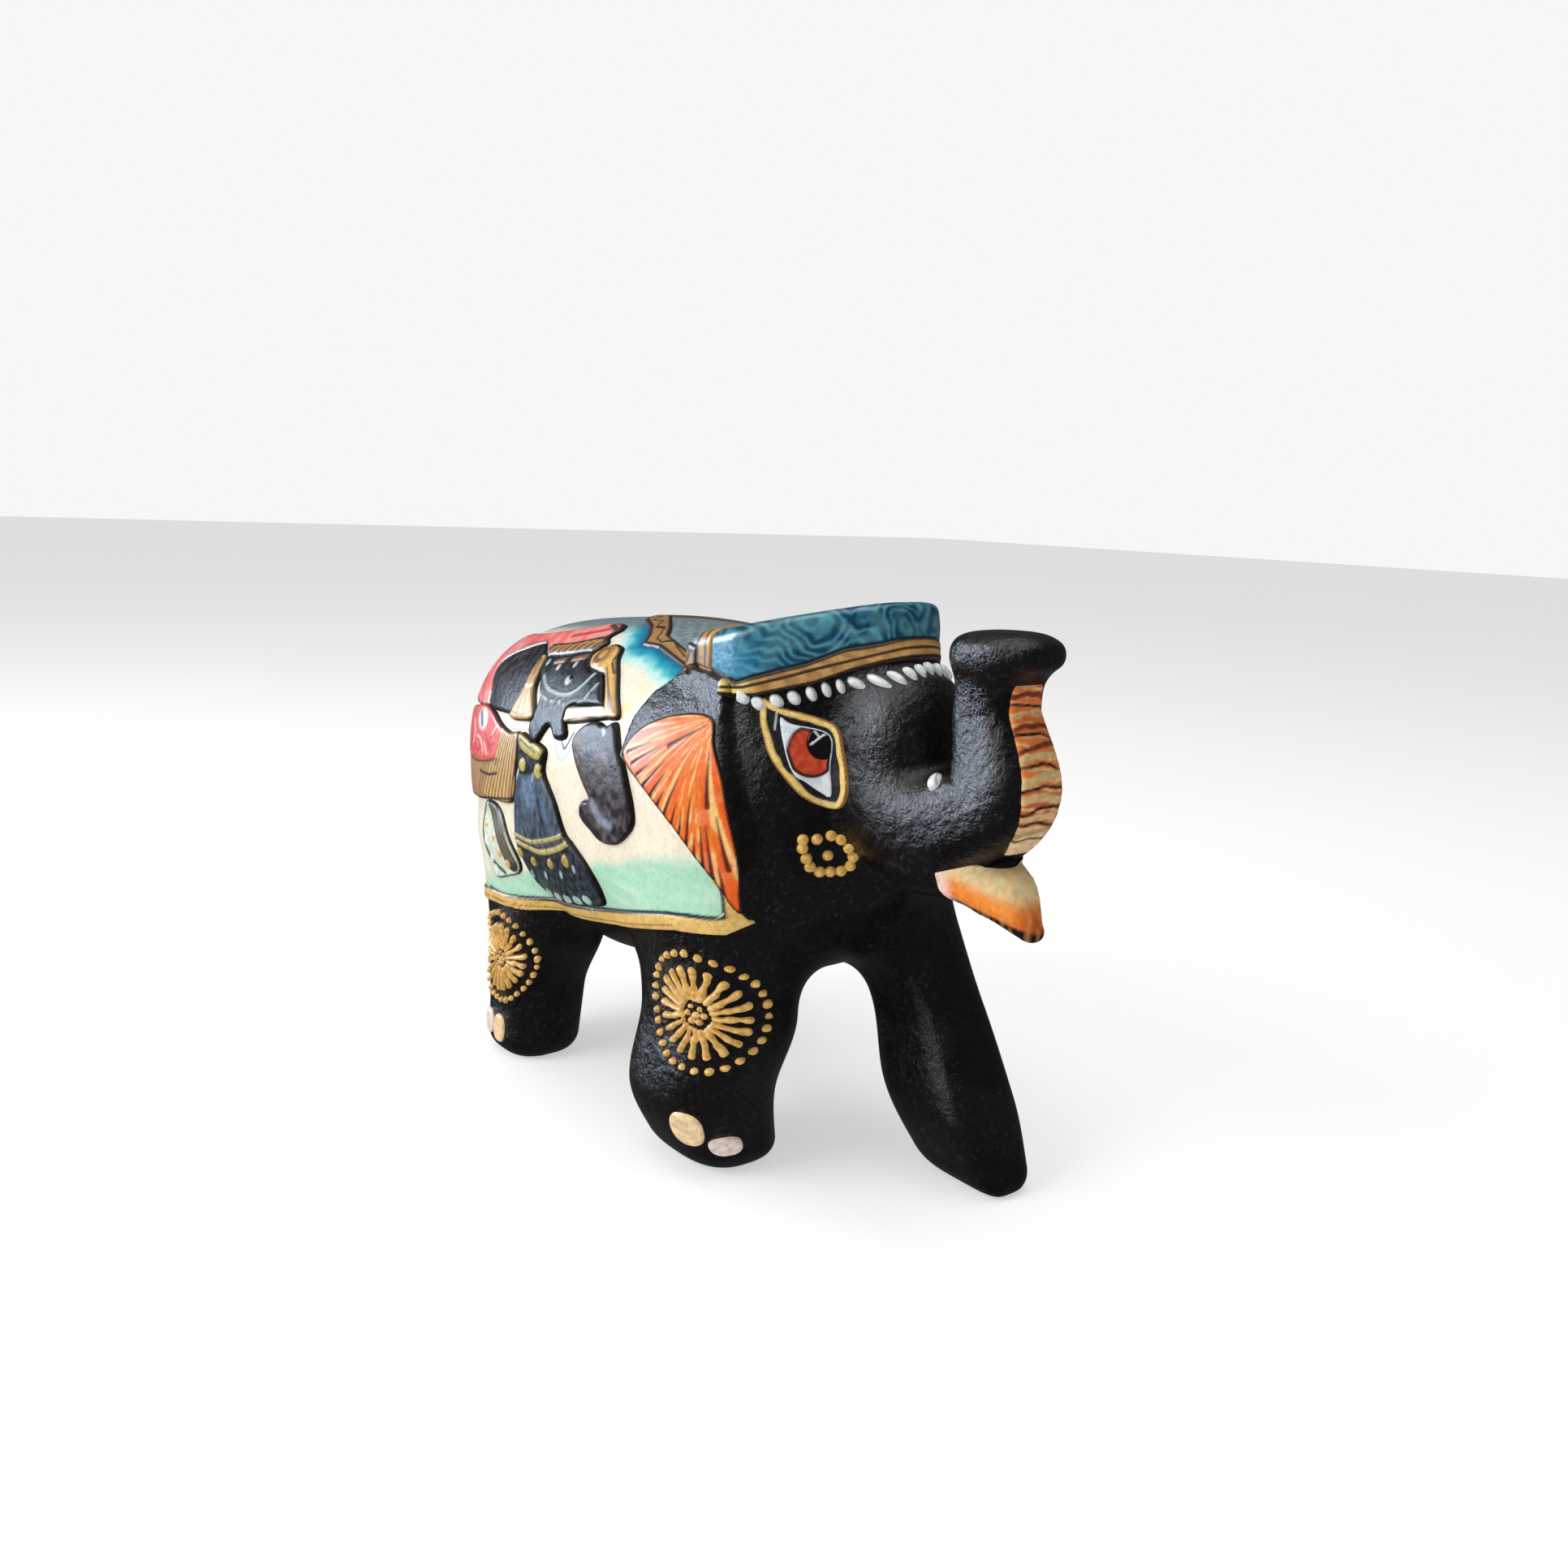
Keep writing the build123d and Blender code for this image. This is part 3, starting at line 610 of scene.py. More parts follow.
def lacquer_material():
    """Black lacquer over open wood grain with pits; blue-grey painted highlights in its colour stand for the
    light its grain catches.
    """
    material, nodes, links, shader = node_material("black_lacquer")
    grain = noise(nodes, links, 1350, 8, 0.72)
    pits = noise(nodes, links, 620, 5, 0.68)
    broad = noise(nodes, links, 95, 3, 0.5)
    # Painted highlight: blue-grey specks on the grain's peaks stand for glints off the lacquer.
    painted_glint_specks = ramp(nodes, links, grain, [(0.52, (0.0048, 0.0040, 0.0045)), (0.62, (0.010, 0.011, 0.015)),
                                        (0.72, (0.050, 0.058, 0.075))])
    clear = ramp(nodes, links, broad, [(0.44, (0.35, 0.32, 0.34)), (0.56, (1, 1, 1))])
    links.new(mix(nodes, links, "MULTIPLY", 1.0, painted_glint_specks, clear), shader.inputs["Base Color"])
    links.new(map_range(nodes, links, grain, 0.03, 0.24), shader.inputs["Roughness"])
    pores = bump(nodes, links, pits, 0.75, 0.00055)
    links.new(bump(nodes, links, broad, 0.25, 0.0010, pores), shader.inputs["Normal"])
    shader.inputs["Specular IOR Level"].default_value = 0.50
    return material


def paint_material(name, roughness, coat, relief=0.00006, wear=0.10, scale=1400, shine=0.4):
    """Hand paint: the painted colours with brush mottling, fine pitting and broad patches of wear."""
    material, nodes, links, shader = node_material(name)
    colour = nodes.new("ShaderNodeAttribute")
    colour.attribute_name = "paint"
    fine = noise(nodes, links, scale, 5, 0.65)
    broad = noise(nodes, links, 240, 3, 0.5)
    shade = ramp(nodes, links, fine, [(0.30, (1 - 2.6 * wear,) * 3), (0.55, (1, 1, 1))])
    tone = ramp(nodes, links, broad, [(0.30, (1 - wear,) * 3), (0.65, (1, 1, 1))])
    painted = mix(nodes, links, "MULTIPLY", 1.0, colour.outputs["Color"], shade)
    links.new(mix(nodes, links, "MULTIPLY", 1.0, painted, tone), shader.inputs["Base Color"])
    links.new(map_range(nodes, links, fine, roughness - 0.08, roughness + 0.12), shader.inputs["Roughness"])
    skin = bump(nodes, links, fine, 0.5, relief)
    links.new(bump(nodes, links, broad, 0.3, relief * 3, skin), shader.inputs["Normal"])
    shader.inputs["Specular IOR Level"].default_value = shine
    shader.inputs["Coat Weight"].default_value = coat
    shader.inputs["Coat Roughness"].default_value = 0.15
    return material


FINISHES = {
    "black_lacquer_wood": lacquer_material(),
    "picture_enamel": paint_material("picture_enamel", 0.35, 0.10, wear=0.06, shine=0.3),
    "gold_paint": paint_material("gold_paint", 0.40, 0.15, 0.00010, 0.14),
    "saddle_enamel": paint_material("saddle_enamel", 0.38, 0.30, 0.00008, 0.12),
    "teal_enamel": paint_material("teal_enamel", 0.28, 0.20, 0.00010, 0.14),
    "white_paint": paint_material("white_paint", 0.35, 0.30, 0.00006, 0.08),
    "red_paint": paint_material("red_paint", 0.30, 0.40),
    "black_paint": paint_material("black_paint", 0.25, 0.20, shine=0.2),
    "orange_enamel": paint_material("orange_enamel", 0.30, 0.05, shine=0.25),
    "relief_paste": paint_material("relief_paste", 0.28, 0.0, 0.00018, 0.20, 1000, 0.16),
    "coral_paint": paint_material("coral_paint", 0.38, 0.30, 0.00010, 0.12),
    "toenail_paint": paint_material("toenail_paint", 0.42, 0.20, 0.00008, 0.12),
}


def put(obj, slot, node):
    """Give a piece its finish and let it stand for its node of the frame."""
    obj.data.materials.append(FINISHES[slot])
    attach(obj, "root")
    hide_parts(node)


def lay(node, slot, sheet, keep, coat, base=0.18, rise=0.0, edge=0.35):
    """Put a coat on the wood in place of a node."""
    put(coat_mesh(node, sheet, keep, coat, base, rise, edge), slot, node)


def parts_of(sheet):
    """x, y and z of a sheet's points."""
    return np.moveaxis(sheet[0], -1, 0)


# ---------------------------------------------------------------- outlines of the picture, as y, z
GROUND = [(51, 24.8), (36.0, 27.0), (26.5, 27.6), (4.7, 31.2), (-13.7, 35.6), (-20.5, 36.6), (-22.6, 38.9),
          (-20.4, 42.9), (-17.6, 45.5), (-14.5, 48.4), (-10.4, 51.4), (-4.8, 55.0), (-3.3, 55.9),
          (-3.6, 61.0), (-4.9, 64.4), (-7.6, 66.6), (-9, 74), (51, 76)]
BORDER = [(51, 24.0), (36.2, 26.3), (26.7, 26.9), (4.7, 30.5), (-13.7, 34.9), (-20.5, 35.6), (-22.9, 37.4),
          (-21.9, 40.6), (-20.4, 43.0), (-19.5, 42.3), (-20.4, 38.4), (-19.6, 37.6), (-11.9, 36.7),
          (6.9, 32.3), (26.4, 28.9), (36.0, 28.3), (51, 26.2)]
BORDER_INNER = [(51, 26.2), (36.0, 28.3), (26.4, 28.9), (6.9, 32.3), (-11.9, 36.7), (-19.6, 37.6),
                (-20.4, 38.6), (-19.5, 42.3)]
BODY = [(35.6, 56.6), (37.2, 59.1), (39.2, 60.8), (38.9, 62.9), (36.6, 64.2), (33.9, 65.1), (31.5, 65.9),
        (29.4, 66.3), (26.6, 65.3), (25.6, 64.9), (23.8, 61.1), (22.6, 58.9), (25.0, 56.7), (29.5, 56.5)]
FACE = [(25.4, 64.7), (21.0, 65.6), (15.6, 66.7), (13.8, 66.0), (10.4, 65.0), (7.8, 63.6), (5.6, 61.6),
        (4.2, 60.9), (9.0, 60.3), (12.2, 59.7), (12.6, 58.0), (11.4, 55.9), (14.0, 55.1), (16.4, 56.6),
        (18.9, 54.0), (20.9, 54.3), (21.7, 56.4), (20.8, 59.2), (22.6, 61.3)]
CROWN = [(48.9, 56.3), (50.3, 60), (48.9, 63), (45.5, 65.3), (40, 66.6), (34.7, 67.2), (26.9, 68.5),
         (19.7, 70.0), (16.3, 69.6), (15.9, 68.6), (14.3, 67.9), (15.6, 66.6), (21.0, 65.6), (25.6, 64.8),
         (29.4, 66.2), (33.9, 65.0), (38.9, 62.8), (39.2, 60.8), (37.2, 59.1), (35.6, 56.9), (42, 56.0)]
TUSK = [(12.3, 59.8), (8, 60.4), (4.1, 60.9), (2.0, 59.8), (4.8, 59.0), (11.8, 57.6), (12.7, 58.4)]
NOSE = [(9.2, 55.8), (7.8, 53.2), (5.3, 50.5), (3.6, 48.8), (5.3, 48.3), (6.0, 47.2), (5.6, 45.7),
        (3.2, 44.5), (0.8, 43.5), (-2.2, 43.7), (-4.7, 45.3), (-6.2, 47.3), (-5.8, 50.0), (-4.0, 53.6),
        (-2.2, 56.0), (0.3, 59.3), (2.3, 58.6), (4.5, 58.9), (7.3, 58.0)]
NOSE_SHADE = [(2.2, 58.6), (0.4, 59.6), (-1.9, 57.1), (-3.2, 54.4), (-1.3, 53.9), (1.3, 56.7)]
CLOTH = [(47.5, 52), (46, 55.0), (42.3, 55.9), (39, 56.6), (35.9, 56.6), (33.5, 56.0), (30.4, 54.8),
         (27, 54.2), (24.2, 54.4), (24.0, 50.4), (25.4, 44.3), (33, 43.0), (40.5, 41.8), (47.0, 42.2)]
CORAL_CLOTH = [(48, 52), (46, 55.0), (42.3, 55.9), (35.9, 56.6), (31, 55.4), (29.6, 53.9), (30.3, 51.5),
               (31.8, 49.6), (39.5, 48.3), (48, 48.5)]
STRAP_SHADE = [(24.3, 54.6), (20.9, 54.5), (16.4, 53.2), (16.0, 51.0), (19, 49.4), (24.0, 49.4)]
LEG = [(24.0, 54.4), (20.9, 54.3), (16.3, 53.4), (16.2, 51.0), (15.8, 49.6), (12.9, 46.4), (10.5, 42.6),
       (8.5, 41.4), (5.2, 39.0), (3.0, 36.0), (3.4, 33.8), (8, 32.6), (14, 31.4), (18.7, 31.0), (22.4, 32.2),
       (24.4, 35.7), (25.4, 39.0), (24.8, 44.1), (23.8, 49.5)]
ROPE = [(37.0, 41.6), (31.6, 42.4), (28.6, 39.3), (25.9, 35.4), (26.2, 33.2), (29, 31.9), (33.6, 31.0),
        (36.0, 35.6)]
TASSEL_REAR = [(26.7, 64.8), (25.4, 64.9), (24.3, 62.8), (23.4, 60.6), (20.9, 57.2), (24, 56.2),
               (28.0, 56.3), (26.5, 60.0), (26.7, 61.8)]
TASSEL_FRONT = [(14.0, 65.9), (13.5, 67.1), (12.0, 67.9), (10.0, 67.7), (8.4, 66.5), (5.5, 64.7),
                (2.6, 62.3), (0.4, 60.1), (1.8, 59.5), (3.4, 59.8), (5.6, 62.2), (8.0, 64.1), (10.2, 64.4),
                (12.6, 64.7)]
EAR_PANEL = [(-4.6, 55.7), (-4.9, 58.0), (-6.8, 60.1), (-9.5, 61.5), (-11.8, 62.2), (-14.9, 62.7),
             (-17.4, 62.2), (-18.7, 59.5), (-20.7, 56.0), (-21.9, 52.4), (-22.9, 48.6), (-23.5, 45.3),
             (-23.6, 41.9), (-23.6, 39.2), (-20.4, 43.1), (-17.6, 46.0), (-14.5, 48.9), (-10.4, 51.9)]
# Dark strokes of the ear, from its straight edge towards its root
EAR_ROOT = (-17.6, 62.6)
EAR_FEET = [(-5.4 - 1.28 * k, 56.6 - 1.22 * k) for k in range(14)]
EAR_RAYS = [[(u, v), (u + (EAR_ROOT[0] - u) * share, v + (EAR_ROOT[1] - v) * share)]
            for k, (u, v) in enumerate(EAR_FEET) for share in [0.30 + 0.12 * math.sin(2.3 * k)]]
EAR_RAYS += [[(-12.4, 58.4), (-17.0, 61.6)], [(-19.6, 52.0), (-18.6, 58.4)], [(-22.4, 44.6), (-20.8, 51.0)]]
# Saddle cloth, as y and mm round the back from the level of the torso's axis
SADDLE_OUTER = [(25.5, 38.5), (18.9, 31.0), (13.1, 27.8), (9.4, 24.8), (7.6, 22.6), (4.4, 22.9),
                (-4.6, 20.3), (-6.0, 19.7), (-7.1, 18.3), (-10.4, 18.0), (-10.4, 38.5)]
SADDLE_INNER = [(22.0, 38.5), (14.0, 32.6), (9.2, 29.0), (6.4, 26.4), (-0.8, 24.0), (-8.0, 21.6),
                (-10.4, 21.2), (-10.4, 38.5)]


def paint_ground(y, z, t):
    coat = Coat(y, z, CREAM)
    coat.mottle(9, 1, 0.35, rgb(242, 235, 220))
    coat.mottle(5, 2, 0.25, rgb(230, 214, 184))
    horizon = np.interp(y, [-22, -18, -11, 2.4, 11.7, 30, 38, 50],
                        [45.5, 44.8, 44.0, 40.7, 37.6, 32.2, 30.2, 29.0])
    depth = smooth_step(-0.8, 1.6, horizon - z + 0.5 * ripple(y, z, 5, 3, 3))
    coat.wash(0.92 * depth, MINT)
    coat.wash(depth * 0.35 * np.clip(ripple(y, z, 3, 4, 5), 0, 1), rgb(214, 234, 218))
    band = -outline(y, t, SADDLE_OUTER) + 0.3 * ripple(y, t, 2.5, 5)
    coat.wash(1 - smooth_step(2.6, 5.4, band), SKY_PALE)
    coat.wash(1 - smooth_step(1.6, 3.4, band), SKY)
    coat.wash(1 - smooth_step(0.2, 2.2, band), SKY_DEEP)
    # Painted reflection: the upper rear of the ground, where the back turns away, is washed grey-blue.
    coat.wash(smooth_step(21, 27, t) * smooth_step(12, 20, y), rgb(120, 140, 145))
    coat.dot((0.2, 60.9), 1.1, rgb(246, 214, 130), soft=1.4)
    for run in ([(29.7, 56.7), (26.8, 55.9), (21.8, 56.5)], [(29.1, 54.9), (25.3, 55.1), (21.5, 55.5)]):
        coat.stroke(run, 0.6, WHITE, 0.1)
    coat.stroke([(14.2, 55.0), (11.9, 53.0), (9.2, 57.0)], 1.2, ICE, 0.1)
    coat.stroke([(12.9, 55.4), (11.6, 54.3), (10.0, 56.6)], 0.5, TEAL_INK)
    coat.stroke([(-4.3, 58.6), (-3.0, 55.3), (-4.9, 53.0)], 0.5, ICE)
    coat.stroke(BORDER_INNER[1:], 0.6, TEAL_INK)
    # Painted shade: brown-grey towards the rear, where the flank turns away from the light.
    coat.wash(smooth_step(44, 50, y), rgb(156, 136, 112))
    return coat


def paint_border(y, z):
    coat = Coat(y, z, GOLD)
    coat.mottle(3, 6, 0.3, GOLD_DEEP, 3)
    coat.stroke(BORDER_INNER, 0.42, rgb(58, 54, 46))
    coat.stroke([(u, v + 0.75) for u, v in BORDER[:5]], 0.2, rgb(150, 112, 58))
    return coat


def paint_body(y, z):
    coat = Coat(y, z, rgb(62, 60, 62))
    coat.mottle(2.4, 7, 0.8, rgb(38, 36, 38), 3, 1.2)
    coat.mottle(1.6, 8, 0.5, rgb(84, 92, 108), 3, 1.2)
    for run in ([(36.8, 61.2), (34.6, 63.4), (31.8, 64.6)], [(35.6, 60.0), (33.0, 62.2), (30.6, 63.4)]):
        coat.stroke(run, 0.5, rgb(104, 92, 76))
    coat.stroke([(30.0, 62.6), (29.0, 60.0), (29.4, 57.6)], 0.45, rgb(46, 44, 46))
    coat.stroke([(36.6, 57.0), (38.4, 60.0), (37.8, 63.2)], 0.3, BLACK)
    return coat


def paint_face(y, z):
    coat = Coat(y, z, rgb(40, 42, 48))
    coat.mottle(2.0, 9, 0.6, rgb(66, 78, 92))
    coat.area([(21.8, 62.4), (20.0, 61.0), (18.4, 61.4), (19.0, 63.2)], rgb(78, 92, 108), soft=0.8)
    coat.stroke([(22.4, 61.9), (20.2, 61.0), (17.3, 60.4), (14, 60.5), (11.6, 61.8), (8.6, 63.2)], 0.5,
                TEAL_INK)
    coat.stroke([(22.2, 62.5), (20.2, 61.4), (17.3, 60.9), (15.0, 60.9), (13.1, 61.3), (11.6, 62.3),
                 (10.5, 63.7), (10.0, 64.8)], 0.5, ICE, 0.18)
    for run in ([(21.6, 60.6), (20.6, 60.1)], [(19.9, 60.0), (18.6, 59.8)], [(17.6, 59.7), (16.8, 59.8)],
                [(10.6, 60.2), (9.8, 60.6)], [(9.2, 61.1), (8.9, 61.8)], [(8.6, 62.3), (8.1, 63.0)]):
        coat.stroke(run, 0.5, ICE, 0.15)
    for centre in ((15.1, 59.9), (13.7, 59.7)):
        coat.dot(centre, 0.36, WHITE, 0.15)
    coat.dot((15.4, 62.7), 0.85, WHITE, 0.15, squash=0.7)
    coat.dot((14.9, 63.3), 0.62, BLACK, squash=0.8)
    coat.stroke([(13.6, 64.6), (13.9, 63.2), (14.6, 62.0)], 0.3, BLACK)
    for run in ([(21.6, 64.4), (19.4, 64.9)], [(17.6, 65.2), (15.0, 65.8)]):
        coat.stroke(run, 0.7, rgb(176, 118, 66), 0.15)
    for centre in ((23.4, 64.2), (19.9, 63.9), (16.2, 64.7)):
        coat.dot(centre, 0.42, WHITE, 0.12)
    coat.stroke([(18.9, 59.2), (18.0, 57.0), (18.6, 55.0)], 0.3, rgb(70, 66, 72))
    return coat


def paint_crown(y, z):
    coat = Coat(y, z, CORAL)
    coat.mottle(3.0, 10, 0.5, CORAL_PALE, 3, 0.6)
    # Painted shade: brownish towards the rear, where the flank turns away from the light.
    coat.wash(smooth_step(45.5, 49.5, y), rgb(172, 128, 110))
    band = [(26.9, 64.9), (26.3, 66.2), (21.0, 67.1), (15.4, 68.4), (15.4, 66.4), (21.0, 65.3)]
    coat.area(band, rgb(124, 88, 58))
    for start in range(7):
        y0 = 25.6 - 1.5 * start
        z0 = 65.2 + 0.27 * start
        coat.stroke([(y0, z0), (y0 - 0.6, z0 + 0.9), (y0 - 1.4, z0 + 1.2)], 0.26, rgb(206, 158, 92), 0.1)
    coat.stroke([(26.4, 66.2), (21.0, 67.0), (15.8, 68.3)], 0.25, INK)
    coat.stroke([(26.0, 64.9), (21.0, 65.7), (15.8, 66.8)], 0.3, INK)
    coat.stroke([(24.0, 67.6), (20.5, 68.4), (17.4, 69.2)], 0.5, rgb(206, 74, 72))
    coat.stroke([(19.4, 69.6), (16.4, 69.2), (16.0, 68.4), (14.6, 67.7)], 0.35, rgb(84, 56, 50))
    coat.stroke([(35.8, 57.1), (37.6, 59.2), (39.5, 60.9), (39.2, 63.0), (34.2, 65.4), (29.4, 66.6)], 0.3,
                rgb(178, 84, 84))
    return coat


def paint_cloth(y, z):
    coat = Coat(y, z, rgb(198, 152, 82))
    coat.mottle(1.2, 12, 0.4, rgb(150, 104, 54), 8, 1.4)
    coat.wash(smooth_step(33, 40, y) * (z < 48), rgb(186, 138, 96))
    for k in range(11):
        top = 24.8 + 0.55 * k
        low = 26.4 + 1.25 * k
        foot = 43.8 - 0.10 * k
        head = 53.8 if k < 8 else 49.6 - 0.4 * (k - 8)
        shade = rgb(96, 66, 30) if k % 3 else rgb(64, 46, 26)
        coat.stroke([(top, head), ((top + low) / 2 - 0.2, 49), (low, foot)], 0.17, shade)
        if k < 8:
            coat.stroke([(top + 0.28, head - 0.3), ((top + low) / 2 + 0.2, 49), (low + 0.5, foot + 0.2)], 0.2,
                        rgb(236, 206, 128), 0.06)
    coat.area(CORAL_CLOTH, rgb(238, 96, 98), 0.12)
    coat.dot((37.0, 54.5), 2.3, CORAL_PALE, squash=0.75)
    coat.dot((37.0, 54.5), 1.9, WHITE, 0.1, squash=0.75)
    coat.dot((37.0, 54.5), 1.3, rgb(232, 226, 226), squash=0.75)
    coat.stroke([(37.6, 55.3), (36.6, 53.8)], 0.9, rgb(112, 110, 118))
    for run in ([(33.6, 55.2), (31.2, 53.6), (33.2, 52.0), (32.4, 50.4)], [(31.2, 51.8), (33.6, 51.0)],
                [(34.8, 52.6), (33.0, 50.8)], [(40.6, 50.6), (38.6, 49.6), (36.6, 50.4)],
                [(44, 53), (42, 51), (43, 49.4)]):
        coat.stroke(run, 0.42, rgb(206, 52, 58))
    for run in ([(35.4, 51.2), (34.0, 49.8)], [(41.6, 53.8), (40.2, 52.0), (41.0, 50.4)],
                [(38.8, 51.8), (36.8, 51.4), (35.8, 49.8)], [(31.0, 54.6), (32.2, 53.0)]):
        coat.stroke(run, 0.5, CORAL_PALE, 0.08)
    coat.stroke([(47, 48.0), (39.5, 47.9), (31.8, 49.2)], 0.35, rgb(120, 52, 46))
    coat.stroke([(37.4, 46.7), (33.6, 46.8), (30.2, 47.6)], 0.42, rgb(46, 34, 24))
    coat.stroke([(47, 42.4), (40.5, 42.1), (33, 43.3), (25.6, 44.6)], 0.4, rgb(84, 62, 36))
    coat.stroke([(24.3, 54.2), (24.2, 50.4), (25.5, 44.6)], 0.3, rgb(52, 40, 28))
    return coat


def paint_leg(y, z):
    coat = Coat(y, z, BLUE_GREY)
    coat.mottle(3.4, 13, 0.7, rgb(64, 72, 92), 2, 1.4)
    coat.mottle(1.5, 14, 0.45, rgb(140, 158, 186), 2, 1.4)
    # Painted highlight: a soft pale blue patch and a pale streak on the raised leg, with a painted shade
    # streak in dark blue beside them.
    coat.area([(21.6, 48.4), (19.4, 48.6), (17.8, 45.6), (19.8, 44.2), (21.8, 45.6)], rgb(132, 168, 210),
              soft=1.6)
    coat.stroke([(15.6, 45.6), (14.4, 42.6)], 1.1, rgb(120, 150, 188), soft=0.7)
    coat.stroke([(17.0, 46.0), (15.4, 41.4)], 0.6, rgb(44, 52, 76), soft=0.4)
    coat.area([(26, 38.6), (16, 38.4), (8, 41.6), (2, 36), (3, 32), (18, 30), (25, 33)], rgb(44, 56, 64))
    coat.mottle(1.4, 15, 0.35, rgb(110, 124, 132), 1, 0)
    coat.area(STRAP_SHADE, rgb(34, 34, 36))
    coat.area([(23.6, 54.4), (22.2, 54.7), (16.9, 53.6), (16.6, 52.4), (18.0, 51.7), (22.6, 52.6)], YELLOW,
              0.18)
    coat.stroke([(22.6, 53.8), (20.0, 53.1), (18.0, 52.6)], 0.22, rgb(120, 100, 40))
    for centre, radius in (((21.7, 50.3), 0.95), ((17.1, 50.2), 1.0)):
        coat.dot(centre, radius, YELLOW, 0.2)
    coat.stroke([(22.8, 49.4), (23.4, 48.2)], 0.5, ICE)
    coat.stroke([(18.4, 49.6), (18.7, 48.6)], 0.45, ICE)
    coat.stroke([(25.4, 39.5), (21, 39.4), (18.5, 39.8), (14, 41.1), (10.3, 42.5)], 0.6, YELLOW, 0.2)
    coat.stroke([(24.4, 38.5), (19, 38.3), (15.8, 38.9), (12, 40.2), (8.7, 41.8)], 0.75, YELLOW, 0.2)
    coat.stroke([(25.0, 38.95), (20, 38.8), (16.5, 39.4), (12, 41.0), (9.6, 42.2)], 0.2, rgb(120, 86, 30))
    for centre, radius in (((24.2, 36.9), 0.75), ((20.5, 36.4), 0.72), ((15.0, 37.3), 0.75),
                           ((10.3, 38.8), 0.9)):
        coat.dot(centre, radius, rgb(244, 208, 112), 0.3)
    for centre in ((22.4, 34.1), (17.5, 35.0), (12.4, 36.3), (8.3, 38.1)):
        coat.dot(centre, 0.42, ICE, 0.1, squash=1.4)
    for centre in ((18.6, 32.0), (15.6, 32.2), (12.6, 32.6), (9.6, 33.2), (6.8, 34.0)):
        coat.dot(centre, 1.15, rgb(196, 236, 220), 0.15, squash=0.55)
    coat.stroke([(25.3, 38.4), (24.3, 35.7), (22.4, 32.6), (18.7, 31.3), (10, 32.4), (3.6, 34.0)], 0.3,
                rgb(34, 46, 50))
    return coat


def paint_nose(y, z):
    coat = Coat(y, z, rgb(96, 82, 80))
    coat.mottle(3.4, 16, 0.9, rgb(42, 38, 46), 1.6, 1.0)
    coat.mottle(1.9, 17, 0.6, rgb(150, 144, 150), 1.5, 1.6)
    coat.mottle(0.9, 51, 0.4, rgb(40, 34, 40), 1.2, 0.4)
    coat.stroke([(7.4, 53.4), (5.6, 51.4), (3.4, 50.2)], 1.0, rgb(122, 78, 58), soft=0.6)
    coat.stroke([(8.0, 56.8), (6.8, 54.2)], 0.9, rgb(120, 92, 84), soft=0.6)
    # Painted highlight: a soft pale blue streak on the raised trunk; the soft dark strokes below it and along
    # its edge are painted shade.
    coat.stroke([(2.4, 48.6), (0.4, 46.8), (-1.8, 46.4)], 1.2, rgb(178, 190, 214), soft=0.7)
    coat.stroke([(5.0, 47.0), (3.0, 45.4), (0.4, 44.4)], 1.0, rgb(62, 50, 58), soft=0.5)
    coat.stroke([(-5.6, 46.6), (-5.4, 50.0), (-3.6, 53.4)], 0.5, rgb(48, 48, 58), soft=0.4)
    coat.area(NOSE_SHADE, rgb(30, 26, 32))
    coat.stroke([(1.6, 57.6), (2.2, 58.2)], 0.7, ICE)
    return coat


def paint_rope(y, z):
    coat = Coat(y, z, rgb(214, 226, 204))
    coat.stroke([(36.0, 41.6), (36.2, 38.6), (34.0, 34.4), (29.6, 32.4)], 0.7, rgb(76, 96, 90))
    coat.stroke([(33.2, 42.3), (30.4, 39.0), (27.4, 34.4)], 2.6, rgb(62, 58, 54), 0.2)
    for offset in (-0.8, -0.1, 0.6):
        coat.stroke([(33.2 + offset, 42.1), (30.4 + offset, 39.0), (27.6 + offset, 34.8)], 0.2,
                    rgb(150, 136, 104))
    for centre in ((34.7, 38.8), (31.9, 37.4), (30.3, 35.3), (28.2, 34.2)):
        coat.dot(centre, 0.62, rgb(226, 176, 104), 0.2)
    for centre in ((33.1, 34.0), (32.0, 32.4), (34.6, 36.4)):
        coat.dot(centre, 0.5, WHITE, 0.15, squash=1.4)
    return coat


def paint_tassels(y, z):
    coat = Coat(y, z, rgb(218, 170, 88))
    for k in range(4):
        spread = (k - 1.5) / 1.5
        coat.stroke([(26.0 + 0.3 * spread, 64.4), (25.0 + 0.9 * spread, 60.8), (24.6 + 2.9 * spread, 56.9)],
                    0.2, BROWN)
    coat.stroke([(27.0, 60.9), (25.0, 60.8), (23.4, 61.4)], 0.4, rgb(250, 236, 190), 0.12)
    coat.stroke([(27.6, 57.1), (24.4, 56.9), (21.8, 57.7)], 0.22, BROWN)
    for k in range(3):
        spread = (k - 1) * 0.55
        coat.stroke([(7.9 + spread, 64.8 + 0.5 * spread), (4.4 + spread, 62.4 + 0.5 * spread),
                     (1.8 + spread, 60.2)], 0.2, BROWN)
    coat.dot((11.4, 66.2), 1.7, rgb(170, 122, 60), 0.2, squash=0.75)
    coat.dot((11.4, 66.2), 1.2, rgb(120, 84, 44), squash=0.75)
    coat.dot((11.2, 66.3), 0.7, rgb(196, 148, 80), 0.1, squash=0.75)
    coat.stroke([(13.9, 66.4), (11.6, 67.6), (9.4, 67.2), (8.2, 65.8), (6.0, 64.6)], 0.25, INK)
    coat.stroke([(13.4, 65.1), (11.4, 64.8), (9.4, 65.0), (8.4, 65.8)], 0.3, rgb(236, 196, 112), 0.1)
    return coat


